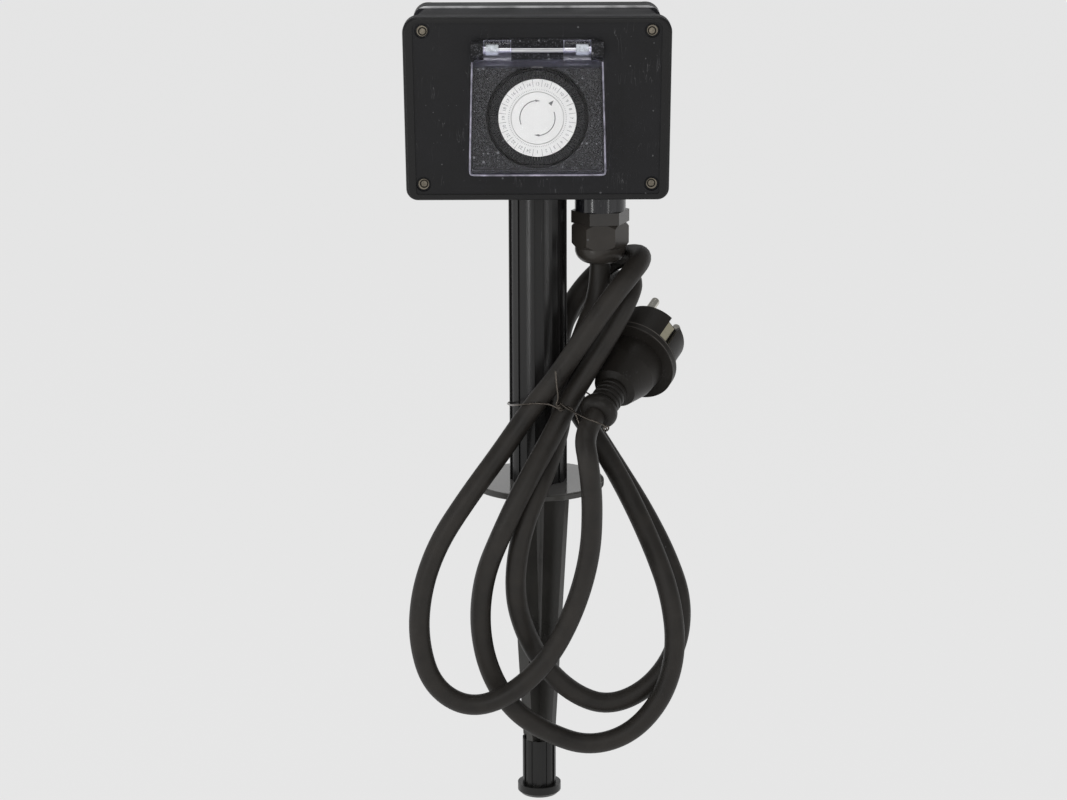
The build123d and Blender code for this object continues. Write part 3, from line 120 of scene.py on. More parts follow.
class DialSettings(bpy.types.PropertyGroup):
    white: FloatVectorProperty(
        name="White", description="Colour of the dial", subtype="COLOR",
        default=(0.86, 0.86, 0.85), min=0, max=1)
    ink: FloatVectorProperty(
        name="Ink", description="Colour of the dial's printing", subtype="COLOR",
        default=(0.16, 0.16, 0.165), min=0, max=1)
    faint: FloatVectorProperty(
        name="Faint ink", description="Colour of the hour lines and numerals", subtype="COLOR",
        default=(0.3, 0.3, 0.31), min=0, max=1)
    hours: IntProperty(name="Hours", description="Hours round the dial", default=24, min=2)
    numeral: FloatProperty(
        name="Numeral height", description="Height of the hour numerals", default=0.0017,
        min=0.0005, max=0.005, unit="LENGTH", precision=5)
    line: FloatProperty(
        name="Line width", description="Width of the printed hour lines", default=0.00022,
        min=0.00005, max=0.001, unit="LENGTH", precision=5)


class LeadSettings(bpy.types.PropertyGroup):
    diameter: FloatProperty(
        name="Diameter", description="Outside diameter of the lead", default=0.011, min=0.004,
        max=0.02, unit="LENGTH", precision=4)
    rubber: FloatVectorProperty(
        name="Rubber", description="Colour of the lead's jacket", subtype="COLOR",
        default=(0.0215, 0.0187, 0.0159), min=0, max=1)
    tie: FloatProperty(
        name="Tie diameter", description="Diameter of the wire that ties the lead",
        default=0.0009, min=0.0004, max=0.004, unit="LENGTH", precision=4)


class StageSettings(bpy.types.PropertyGroup):
    backdrop: FloatVectorProperty(
        name="Backdrop", description="Colour of floor and backdrop as the camera sees them",
        subtype="COLOR", default=(0.791, 0.791, 0.791), min=0, max=1)
    fill: FloatProperty(
        name="Fill", description="Strength of the even light from all round", default=0.62,
        min=0, max=2)
    shine: FloatProperty(
        name="Shine", description="Strength of the room that glossy surfaces show above the paper",
        default=0.32, min=0, max=2)


def settings(name):
    """One of the groups of settings that the add-on keeps on the scene."""
    return getattr(bpy.context.scene, name)


# Node building
def feed(tree, node, values):
    """Sets a node's inputs from values, or links them from sockets."""
    for key, value in values.items():
        if isinstance(value, bpy.types.NodeSocket):
            tree.links.new(value, node.inputs[key])
        else:
            node.inputs[key].default_value = value
    return node


def add_node(tree, kind, values=None, **options):
    """A new node with its options set and its inputs fed."""
    node = tree.nodes.new(kind)
    for key, value in options.items():
        setattr(node, key, value)
    return feed(tree, node, values or {})


def add_group(tree, group, values):
    """The outputs of a shared node group."""
    return add_node(tree, "ShaderNodeGroup", values, node_tree=group).outputs


def calc(tree, operation, first, second=None, clamp=False):
    """The result of a Math node."""
    values = {0: first} if second is None else {0: first, 1: second}
    return add_node(tree, "ShaderNodeMath", values, operation=operation, use_clamp=clamp).outputs[0]


def plus(tree, first, second):
    """The sum of two values."""
    return calc(tree, "ADD", first, second)


def times(tree, first, second):
    """The product of two values."""
    return calc(tree, "MULTIPLY", first, second)


def vector_calc(tree, operation, first, second):
    """The outputs of a Vector Math node."""
    return add_node(tree, "ShaderNodeVectorMath", {0: first, 1: second},
                    operation=operation).outputs


def remap(tree, value, low, high, to_low=0.0, to_high=1.0):
    """A value taken from one range to another and kept within it."""
    return add_node(tree, "ShaderNodeMapRange", {
        "Value": value, "From Min": low, "From Max": high, "To Min": to_low,
        "To Max": to_high}).outputs["Result"]


def away_from(tree, value, middle):
    """How far a value is from the middle."""
    return calc(tree, "ABSOLUTE", calc(tree, "SUBTRACT", value, middle))


def slope_length(tree, one, two):
    """The distance whose shares along two axes are given."""
    return calc(tree, "SQRT", plus(tree, times(tree, one, one), times(tree, two, two)))


def highest(tree, masks):
    """The highest of some masks at each place."""
    total = masks[0]
    for mask in masks[1:]:
        total = calc(tree, "MAXIMUM", total, mask)
    return total


def axes(tree, vector):
    """The X, Y and Z sockets of a vector."""
    return add_node(tree, "ShaderNodeSeparateXYZ", {0: vector}).outputs


def noise(tree, vector, scale, detail=2.0, roughness=0.5, **options):
    """The value of a noise texture."""
    return add_node(tree, "ShaderNodeTexNoise", {
        "Vector": vector, "Scale": scale, "Detail": detail, "Roughness": roughness},
        **options).outputs["Fac"]


def flat_cells(tree, vector, scale):
    """Cells of a flat pattern: the distance from each cell's point, and the cell's chances."""
    cells = add_node(tree, "ShaderNodeTexVoronoi", {"Vector": vector, "Scale": scale},
                     voronoi_dimensions="2D").outputs
    chances = add_node(tree, "ShaderNodeSeparateColor", {0: cells["Color"]}).outputs
    return cells["Distance"], chances


def mix_colour(tree, factor, first, second):
    """The first colour where the factor is 0, the second where it is 1."""
    # Inputs 6 and 7 and output 2 are the node's colours
    return add_node(tree, "ShaderNodeMix", {0: factor, 6: first, 7: second},
                    data_type="RGBA").outputs[2]


def rgba(colour):
    return (*colour[:3], 1.0)


def shade(colour, factor):
    """A lighter or darker colour."""
    return rgba([min(1.0, c * factor) for c in colour[:3]])


def add_inputs(tree, defaults):
    """Gives a node group an input for each default, which is whole for a count."""
    for label, default in defaults.items():
        kind = "NodeSocketInt" if isinstance(default, int) else "NodeSocketFloat"
        socket = tree.interface.new_socket(name=label, in_out="INPUT", socket_type=kind)
        socket.default_value = default


def shader_group(name, defaults, outputs):
    """A new shader node group with a vector and these values as inputs, and its sockets."""
    tree = bpy.data.node_groups.new(name, "ShaderNodeTree")
    tree.interface.new_socket(name="Vector", in_out="INPUT", socket_type="NodeSocketVector")
    add_inputs(tree, defaults)
    for label in outputs:
        tree.interface.new_socket(name=label, in_out="OUTPUT", socket_type="NodeSocketFloat")
    return tree, tree.nodes.new("NodeGroupInput").outputs, tree.nodes.new("NodeGroupOutput").inputs


def flattened(tree, vector):
    """A sheared view of space in which specks lie on faces of any direction."""
    at = axes(tree, vector)
    shear_x, shear_z = 0.53, 0.71
    return add_node(tree, "ShaderNodeCombineXYZ", {
        "X": plus(tree, at["X"], times(tree, at["Y"], shear_x)),
        "Y": plus(tree, at["Z"], times(tree, at["Y"], shear_z))}).outputs[0]


def dust_group():
    """Specks of dust and fine scratches, as masks from 0 to 1."""
    name = "Dust and scratches"
    if name in bpy.data.node_groups:
        return bpy.data.node_groups[name]
    tree, given, made = shader_group(name, {
        "Cells per Metre": 260.0, "Share": 0.1, "Speck Size": 0.16, "Scratches": 0.3},
        ["Specks", "Scratches"])
    # The power makes large specks rare
    speck_power, speck_edge = 3.0, 0.03
    flat = flattened(tree, given["Vector"])
    distance, chances = flat_cells(tree, flat, given["Cells per Metre"])
    size = times(tree, calc(tree, "POWER", chances[1], speck_power), given["Speck Size"])
    speck = remap(tree, calc(tree, "SUBTRACT", size, distance), 0.0, speck_edge)
    has_speck = calc(tree, "LESS_THAN", chances[0], given["Share"])
    tree.links.new(times(tree, speck, has_speck), made["Specks"])
    # A scratch is where a stretched noise has its middle value, if a slow noise allows it
    lines_across, lines_deep, half_width = 14.0, 40.0, 0.006
    runs = []
    for turn, stretch in ((0.5, 6.0), (-0.9, 9.0), (1.35, 7.0)):
        place = add_node(tree, "ShaderNodeMapping", {
            "Vector": given["Vector"], "Rotation": (0.0, turn, 0.0),
            "Scale": (lines_across * stretch, lines_deep, lines_across),
            "Location": (turn, stretch, turn)}).outputs[0]
        wave = noise(tree, place, 4.0, roughness=0.4)
        line = remap(tree, away_from(tree, wave, 0.5), half_width, 0.0)
        slow = noise(tree, given["Vector"], 55.0 + 20.0 * turn, detail=1.0)
        runs.append(times(tree, line, remap(tree, slow, 0.62, 0.7)))
    tree.links.new(times(tree, highest(tree, runs), given["Scratches"]), made["Scratches"])
    return tree


def grain_group():
    """Fine moulded grain: a height in the range 0 to 1 and a slow cloud for gloss and tone."""
    name = "Moulded grain"
    if name in bpy.data.node_groups:
        return bpy.data.node_groups[name]
    tree, given, made = shader_group(
        name, {"Grains per Metre": 1800.0, "Clouds per Metre": 28.0}, ["Height", "Cloud"])
    tree.links.new(noise(tree, given["Vector"], given["Grains per Metre"], roughness=0.6),
                   made["Height"])
    cloud = noise(tree, given["Vector"], given["Clouds per Metre"], detail=4.0, roughness=0.55)
    tree.links.new(remap(tree, cloud, 0.3, 0.7), made["Cloud"])
    return tree


def start_material(name):
    """A material with only an output and a Principled BSDF, and its Object coordinates."""
    made = bpy.data.materials.new(name)
    made.use_nodes = True
    tree = made.node_tree
    tree.nodes.clear()
    shader = tree.nodes.new("ShaderNodeBsdfPrincipled")
    add_node(tree, "ShaderNodeOutputMaterial", {0: shader.outputs[0]})
    return made, tree, shader, tree.nodes.new("ShaderNodeTexCoord").outputs["Object"]


def parts_of(made):
    """The tree of a material from start_material, its Principled BSDF and its coordinates."""
    tree = made.node_tree
    found = {node.type: node for node in tree.nodes}
    return tree, found["BSDF_PRINCIPLED"], found["TEX_COORD"].outputs["Object"]


def paint(tree, shader, mask, colour):
    """Puts another colour over the base colour where the mask is 1."""
    base = shader.inputs["Base Color"].links[0].from_socket
    feed(tree, shader, {"Base Color": mix_colour(tree, mask, base, rgba(colour))})


def add_bump(tree, shader, height, metres):
    """Lets a height of 1 stand out by some metres."""
    bump = add_node(tree, "ShaderNodeBump", {"Strength": 1.0, "Distance": metres,
                                             "Height": height})
    feed(tree, shader, {"Normal": bump.outputs[0]})


def plastic(name, colour, gloss=(0.38, 0.5), grain=(1800.0, 0.00005), cloud=28.0, tone=0.25,
            dust=0.0, scratches=0.0, specular=0.3, dust_tone=0.13, stretch=None):
    """Moulded plastic or rubber: grain, slow changes of tone and gloss, dust and scratches."""
    made, tree, shader, place = start_material(name)
    if stretch:
        place = add_node(tree, "ShaderNodeMapping", {"Vector": place, "Scale": stretch}).outputs[0]
    grains, height = grain
    fine = add_group(tree, grain_group(), {
        "Vector": place, "Grains per Metre": grains, "Clouds per Metre": cloud})
    base = mix_colour(tree, fine["Cloud"], shade(colour, 1 - tone), shade(colour, 1 + tone))
    rough = remap(tree, fine["Cloud"], 0.0, 1.0, *gloss)
    if dust or scratches:
        marks = add_group(tree, dust_group(), {
            "Vector": place, "Share": dust, "Scratches": scratches})
        both = calc(tree, "MAXIMUM", marks["Specks"], marks["Scratches"])
        blue, dull = 1.03, 0.3
        base = mix_colour(tree, both, base, (dust_tone, dust_tone, dust_tone * blue, 1.0))
        rough = calc(tree, "ADD", rough, times(tree, both, dull), clamp=True)
    feed(tree, shader, {"Base Color": base, "Roughness": rough, "Specular IOR Level": specular})
    add_bump(tree, shader, fine["Height"], height)
    return made


def stippled(name, look):
    """The timer panel: coarse stipple whose tops are painted lighter as painted highlights, with
    dust on it.
    """
    made, tree, shader, place = start_material(name)
    flat = flattened(tree, place)
    stipples, waves, dark, light = 1250.0, 900.0, 0.8, 9.0
    distance, chances = flat_cells(tree, flat, stipples)
    wave = noise(tree, flat, waves, noise_dimensions="2D")
    top = remap(tree, distance, 0.6, 0.1)
    # Painted highlights on the stipples' tops
    stipple_highlight = times(tree, remap(tree, chances[0], 0.45, 1.0), top)
    tint = mix_colour(tree, stipple_highlight, shade(look.panel, dark), shade(look.panel, light))
    specks = add_group(tree, dust_group(), {
        "Vector": place, "Cells per Metre": 420.0, "Share": look.dust * 2, "Speck Size": 0.3,
        "Scratches": 0.0})["Specks"]
    feed(tree, shader, {
        "Base Color": mix_colour(tree, specks, tint, (0.2, 0.2, 0.21, 1.0)),
        "Roughness": remap(tree, wave, 0.3, 0.7, 0.62, 0.45), "Specular IOR Level": 0.25})
    add_bump(tree, shader, plus(tree, times(tree, top, 0.6), wave), look.grain)
    return made


def metal(name, colour, rough=(0.22, 0.38), brush=(1.0, 1.0, 1.0), tarnish=0.2):
    """Metal with brushed streaks and a little tarnish."""
    made, tree, shader, place = start_material(name)
    streaks, clouds, streak_height = 900.0, 180.0, 0.00001
    lines = add_node(tree, "ShaderNodeMapping", {"Vector": place, "Scale": brush}).outputs[0]
    streak = noise(tree, lines, streaks, detail=3.0)
    cloud = add_group(tree, grain_group(), {"Vector": place, "Clouds per Metre": clouds})["Cloud"]
    feed(tree, shader, {
        "Base Color": mix_colour(tree, cloud, rgba(colour), shade(colour, 1 - tarnish)),
        "Roughness": remap(tree, streak, 0.3, 0.7, *rough), "Metallic": 1.0})
    add_bump(tree, shader, streak, streak_height)
    return made


def flap_rim(tree, place):
    """A mask of the flap's side walls, foot, root and knuckle walls, which show its tint."""
    low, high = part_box("timer_flap")
    # Depths in from the flap's box, and the soft edge of a mask
    wall, foot_top, lug, soft = 0.0016, 0.0018, 0.0063, 0.0004
    root_foot, root_full, root_top, root_end = 0.0145, 0.0125, 0.0045, 0.006
    # The knuckle walls' distances from the flap's middle, and their half width
    knuckle_walls, wide, core = (0.0131, 0.027), 0.0007, 0.0003
    at = axes(tree, place)
    half = (high.x - low.x) / 2
    across = away_from(tree, at["X"], (low.x + high.x) / 2)
    side = remap(tree, across, half - wall, half - wall + soft)
    foot = remap(tree, at["Z"], low.z + foot_top, low.z + foot_top - soft)
    below_lugs = remap(tree, at["Z"], high.z - lug, high.z - lug - soft)
    above_root = remap(tree, at["Z"], high.z - root_foot, high.z - root_full)
    below_pin = remap(tree, at["Z"], high.z - root_top, high.z - root_end)
    masks = [times(tree, side, below_lugs), foot]
    for middle in knuckle_walls:
        near = remap(tree, away_from(tree, across, middle), wide, core)
        masks.append(times(tree, near, above_root))
    masks.append(times(tree, above_root, below_pin))
    return highest(tree, masks)


def clear_plastic(name, tint):
    """Clear moulded plastic that lets the studio's light through to what it covers."""
    made, tree, shader, place = start_material(name)
    marked = flap_rim(tree, place)
    cloud = add_group(tree, grain_group(), {"Vector": place, "Clouds per Metre": 60.0})["Cloud"]
    marks = add_group(tree, dust_group(), {
        "Vector": place, "Cells per Metre": 330.0, "Share": 0.1, "Speck Size": 0.16,
        "Scratches": 0.5})
    both = calc(tree, "MAXIMUM", marks["Specks"], marks["Scratches"])
    rough = plus(tree, remap(tree, cloud, 0.0, 1.0, 0.03, 0.07), times(tree, both, 0.4))
    feed(tree, shader, {
        "Base Color": mix_colour(tree, marked, (0.97, 0.97, 0.975, 1.0), rgba(tint)),
        "Roughness": calc(tree, "MAXIMUM", rough, times(tree, marked, 0.5)),
        "Transmission Weight": 1.0, "IOR": 1.25})
    clear = add_node(tree, "ShaderNodeBsdfTransparent", {0: (0.9, 0.9, 0.9, 1.0)})
    path = tree.nodes.new("ShaderNodeLightPath").outputs
    mixed = add_node(tree, "ShaderNodeMixShader", {
        0: path["Is Shadow Ray"], 1: shader.outputs[0], 2: clear.outputs[0]})
    out = next(node for node in tree.nodes if node.type == "OUTPUT_MATERIAL")
    feed(tree, out, {0: mixed.outputs[0]})
    return made


def dress(material, *nodes):
    """Gives CAD nodes their material."""
    for name in nodes:
        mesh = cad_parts[name].data
        mesh.materials.clear()
        mesh.materials.append(material)


# Mesh building
def new_object(name, data):
    """An object with this data, linked to the scene."""
    made = bpy.data.objects.new(name, data)
    bpy.context.scene.collection.objects.link(made)
    return made


def finished_piece(name, data, material, body):
    """A mesh or curve of one material as a piece of a body."""
    piece = new_object(name, data)
    data.materials.clear()
    data.materials.append(material)
    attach(piece, body)
    return piece


def plate(builder, points, place, thick):
    """Adds a flat polygon of some thickness to a bmesh. Points are a radius and an angle."""
    low, high = ([builder.verts.new(place @ Vector((r * math.cos(a), r * math.sin(a), level)))
                  for r, a in points] for level in (0.0, thick))
    builder.faces.new(low[::-1])
    builder.faces.new(high)
    for i in range(len(points)):
        j = (i + 1) % len(points)
        builder.faces.new((low[i], low[j], high[j], high[i]))


def mesh_from(builder, name):
    """The mesh of a bmesh, which is freed."""
    mesh = bpy.data.meshes.new(name)
    builder.to_mesh(mesh)
    builder.free()
    return mesh


def evaluated_mesh(piece):
    """The mesh that an object's modifiers or curve settings make."""
    bpy.context.view_layer.update()
    graph = bpy.context.evaluated_depsgraph_get()
    return bpy.data.meshes.new_from_object(piece.evaluated_get(graph), depsgraph=graph)


def route_curve(name, route, diameter, along=10, around=7):
    """A round tube on a smooth NURBS line whose control points are the route in millimetres."""
    curve = bpy.data.curves.new(name, "CURVE")
    curve.dimensions = "3D"
    curve.bevel_depth = diameter / 2
    curve.bevel_resolution = around
    curve.resolution_u = along
    curve.use_fill_caps = True
    spline = curve.splines.new("NURBS")
    spline.points.add(len(route) - 1)
    for point, place in zip(spline.points, route):
        point.co = (*[c * MM for c in place], 1.0)
    spline.order_u = 3
    spline.use_endpoint_u = True
    return curve


def dial_place():
    """From drawing units in metres to the dial's face, with the drawing's y up."""
    low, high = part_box("dial_face")
    centre = (low + high) / 2
    return Matrix.Translation((centre.x, low.y, centre.z)) @ Matrix.Rotation(
        math.radians(90), 4, "X")


# Geometry Nodes
def ring_of_bars_tree(material):
    """Bars of one size, set evenly round a circle and pointing away from its centre."""
    tree = bpy.data.node_groups.new("Ring of bars", "GeometryNodeTree")
    add_inputs(tree, {"Count": 24, "Inner Radius": 0.014, "Outer Radius": 0.0197,
                      "Width": 0.0002, "Height": 0.00005, "Turn": 0.0})
    tree.interface.new_socket(name="Geometry", in_out="OUTPUT", socket_type="NodeSocketGeometry")
    given = tree.nodes.new("NodeGroupInput").outputs
    length = calc(tree, "SUBTRACT", given["Outer Radius"], given["Inner Radius"])
    reach = plus(tree, given["Outer Radius"], given["Inner Radius"])
    size = add_node(tree, "ShaderNodeCombineXYZ", {
        "X": length, "Y": given["Width"], "Z": given["Height"]})
    bar = add_node(tree, "GeometryNodeMeshCube", {"Size": size.outputs[0]})
    out = add_node(tree, "ShaderNodeCombineXYZ", {"X": times(tree, reach, 0.5)})
    moved = add_node(tree, "GeometryNodeTransform", {
        "Geometry": bar.outputs["Mesh"], "Translation": out.outputs[0]})
    points = add_node(tree, "GeometryNodePoints", {"Count": given["Count"]})
    index = tree.nodes.new("GeometryNodeInputIndex").outputs[0]
    step = calc(tree, "DIVIDE", 2 * math.pi, given["Count"])
    angle = plus(tree, times(tree, index, step), given["Turn"])
    turn = add_node(tree, "ShaderNodeCombineXYZ", {"Z": angle})
    to_rotation = add_node(tree, "FunctionNodeEulerToRotation", {0: turn.outputs[0]})
    placed = add_node(tree, "GeometryNodeInstanceOnPoints", {
        "Points": points.outputs[0], "Instance": moved.outputs[0],
        "Rotation": to_rotation.outputs[0]})
    real = add_node(tree, "GeometryNodeRealizeInstances", {"Geometry": placed.outputs[0]})
    painted = add_node(tree, "GeometryNodeSetMaterial", {
        "Geometry": real.outputs[0], "Material": material})
    add_node(tree, "NodeGroupOutput", {"Geometry": painted.outputs[0]})
    return tree


def ring_of_bars(tree, name, place, sizes):
    """A plain mesh of bars round a circle, made by the tree with these sizes."""
    holder = new_object(name, bpy.data.meshes.new(name))
    modifier = holder.modifiers.new("Bars", "NODES")
    modifier.node_group = tree
    for item in tree.interface.items_tree:
        if item.in_out == "INPUT" and item.name in sizes:
            modifier[item.identifier] = sizes[item.name]
    mesh = evaluated_mesh(holder)
    bpy.data.objects.remove(holder)
    mesh.transform(place)
    mesh.name = name
    return mesh


# Operators
class SOCKETPOST_OT_case(bpy.types.Operator):
    """Finish the box: covers, timer panel, seals and screws"""
    bl_idname = "socket_post.case"
    bl_label = "Box"

    def execute(self, context):
        look = settings("socket_case")
        moulded = {"gloss": (0.3, 0.42), "grain": (1500.0, look.grain), "dust": look.dust}
        cover = plastic("Cover plastic", look.cover, scratches=1.0, tone=0.6, cloud=30.0,
                        specular=0.22, dust_tone=0.28, **moulded)
        self.paint_rim_highlight(cover)
        dress(cover, "front_cover")
        behind = {"scratches": 0.7, "tone": 0.18, "cloud": 24.0, **moulded}
        housing = plastic("Housing plastic", look.cover, specular=0.09, **behind)
        self.polish_sleeve(housing)
        dress(housing, "main_housing")
        # The rear cover is painted 1.2 times lighter than the covers: painted light on its top
        rear = plastic("Rear cover plastic", shade(look.cover, 1.2), specular=0.3, **behind)
        self.paint_edge_highlight(rear)
        dress(rear, "rear_cover")
        dress(stippled("Timer panel plastic", look), "timer_panel")
        dress(plastic("Seal rubber", (0.012, 0.012, 0.012), gloss=(0.7, 0.85)),
              "cover_seal", "rear_seal", "gland_seal")
        bronze = {"colour": (0.28, 0.25, 0.2), "rough": (0.18, 0.34), "tarnish": 0.5}
        for node in ("cover_screws", "rear_screws"):
            made = metal("Bronze screw " + node.split("_")[0], **bronze)
            self.shade_screw_grooves(made, node)
            dress(made, node)
        dress(metal("Bronze screw", **bronze), "post_screws")
        return {"FINISHED"}

    def polish_sleeve(self, made):
        """The gland's sleeve under the box is smoother than the box."""
        tree, shader, place = parts_of(made)
        foot, soft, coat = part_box("front_cover")[0].z, 0.001, 0.9
        feed(tree, shader, {
            "Coat Weight": remap(tree, axes(tree, place)["Z"], foot - soft, foot, coat, 0.0),
            "Coat Roughness": 0.16})

    def paint_rim_highlight(self, made):
        """The front cover's raised rim is painted a little lighter than its face: a painted
        highlight, as if the rim caught more light.
        """
        tree, shader, place = parts_of(made)
        front, rim_foot, rim_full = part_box("front_cover")[0].y, 0.0016, 0.0004
        rim = remap(tree, axes(tree, place)["Y"], front + rim_foot, front + rim_full)
        # Painted highlight on the rim's front
        paint(tree, shader, rim, (0.0155, 0.0153, 0.0155))

    def paint_edge_highlight(self, made):
        """The rear cover's upper front edge is painted bright: a painted highlight along the edge.
        """
        tree, shader, place = parts_of(made)
        low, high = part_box("rear_cover")
        deep, down, full = 0.0012, 0.0013, 0.0007
        at = axes(tree, place)
        edge = times(tree, remap(tree, at["Y"], low.y + deep, low.y + full),
                     remap(tree, at["Z"], high.z - down, high.z - full))
        highlight_breakup = remap(tree, noise(tree, place, 90.0), 0.3, 0.6, 0.5, 1.0)
        # Painted highlight along the edge, broken up by noise
        paint(tree, shader, times(tree, edge, highlight_breakup), (0.85, 0.85, 0.86))

    def shade_screw_grooves(self, made, node):
        """A dark ring of painted shade round each of four screws that stand in a rectangle, where a
        groove would lie in shade.
        """
        tree, shader, place = parts_of(made)
        low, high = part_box(node)
        head, groove, half_width, core = 0.0029, 0.00185, 0.00042, 0.00026
        at = axes(tree, place)
        shares = []
        for axis, one, two in (("X", low.x, high.x), ("Z", low.z, high.z)):
            away = away_from(tree, at[axis], (one + two) / 2)
            shares.append(calc(tree, "SUBTRACT", away, (two - one) / 2 - head))
        ring = away_from(tree, slope_length(tree, *shares), groove)
        # Painted shade in the ring
        paint(tree, shader, remap(tree, ring, half_width, core), (0.02, 0.018, 0.015))


class SOCKETPOST_OT_flap(bpy.types.Operator):
    """Finish the clear flap and its bright hinge pin"""
    bl_idname = "socket_post.flap"
    bl_label = "Flap"

    def execute(self, context):
        dress(clear_plastic("Clear plastic", settings("socket_flap").tint), "timer_flap")
        self.paint_flap_edge_light()
        dress(metal("Bright pin", (0.6, 0.6, 0.62), rough=(0.32, 0.45), brush=(0.1, 1.0, 1.0),
                    tarnish=0.1), "flap_hinge_pin", "lid_pins")
        self.bushes()
        return {"FINISHED"}

    def bushes(self):
        """Two pale bushes in the clear knuckles, round the thicker ends of the pin."""
        low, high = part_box("flap_hinge_pin")
        centre = (low + high) / 2
        slack, outer, length, chamfer, outer_end = 0.00003, 0.0024, 0.0064, 0.0003, 0.0259
        bore = (high.z - low.z) / 2 + slack
        sides = 40
        builder = bmesh.new()
        for side in (-1, 1):
            start = side * (min((high.x - low.x) / 2, outer_end) - length)
            end = start + side * length
            profile = [(start, bore), (start, outer - chamfer), (start + side * chamfer, outer),
                       (end - side * chamfer, outer), (end, outer - chamfer), (end, bore)]
            rings = []
            for k in range(sides):
                angle = k * 2 * math.pi / sides
                rings.append([builder.verts.new((
                    centre.x + x, centre.y + r * math.cos(angle), centre.z + r * math.sin(angle)))
                    for x, r in profile])
            for one, two in zip(rings, rings[1:] + rings[:1]):
                for i in range(len(profile)):
                    j = (i + 1) % len(profile)
                    builder.faces.new((one[i], one[j], two[j], two[i]))
        bmesh.ops.recalc_face_normals(builder, faces=builder.faces)
        pale = plastic("Pale bush", (0.5, 0.53, 0.56), gloss=(0.25, 0.4), tone=0.35, cloud=500.0)
        finished_piece("flap_bushes", mesh_from(builder, "flap_bushes"), pale, "timer_flap")

    def paint_flap_edge_light(self):
        """A rounded bead down both sides and along the foot, coloured bright as painted light that
        stands for the light the clear edges pipe.
        """
        low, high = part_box("timer_flap")
        inset, corner, depth, thick = 0.0007, 0.0018, 0.0011, 0.0009
        # The flap narrows by this much on each side under its top
        narrow, top, shoulder = 0.0016, high.z - 0.0105, 0.004
        left, right, foot = low.x + inset, high.x - inset, low.z + inset
        outline = [(left + narrow, top), (left + narrow * 0.9, top - shoulder),
                   (left, foot + corner), (left + corner * 0.25, foot + corner * 0.25),
                   (left + corner, foot), (0.0, foot), (right - corner, foot),
                   (right - corner * 0.25, foot + corner * 0.25), (right, foot + corner),
                   (right - narrow * 0.9, top - shoulder), (right - narrow, top)]
        front = low.y + depth
        curve = route_curve("flap_light_bead", [(x / MM, front / MM, z / MM) for x, z in outline],
                            thick, around=3)
        # The bead's pale colour is painted light
        piped_light_paint = plastic("Flap light bead", (0.3, 0.29, 0.36), gloss=(0.15, 0.3), tone=0.75,
                         cloud=170.0, grain=(900.0, 0.00002), specular=0.5)
        finished_piece("flap_light_bead", curve, piped_light_paint, "timer_flap")


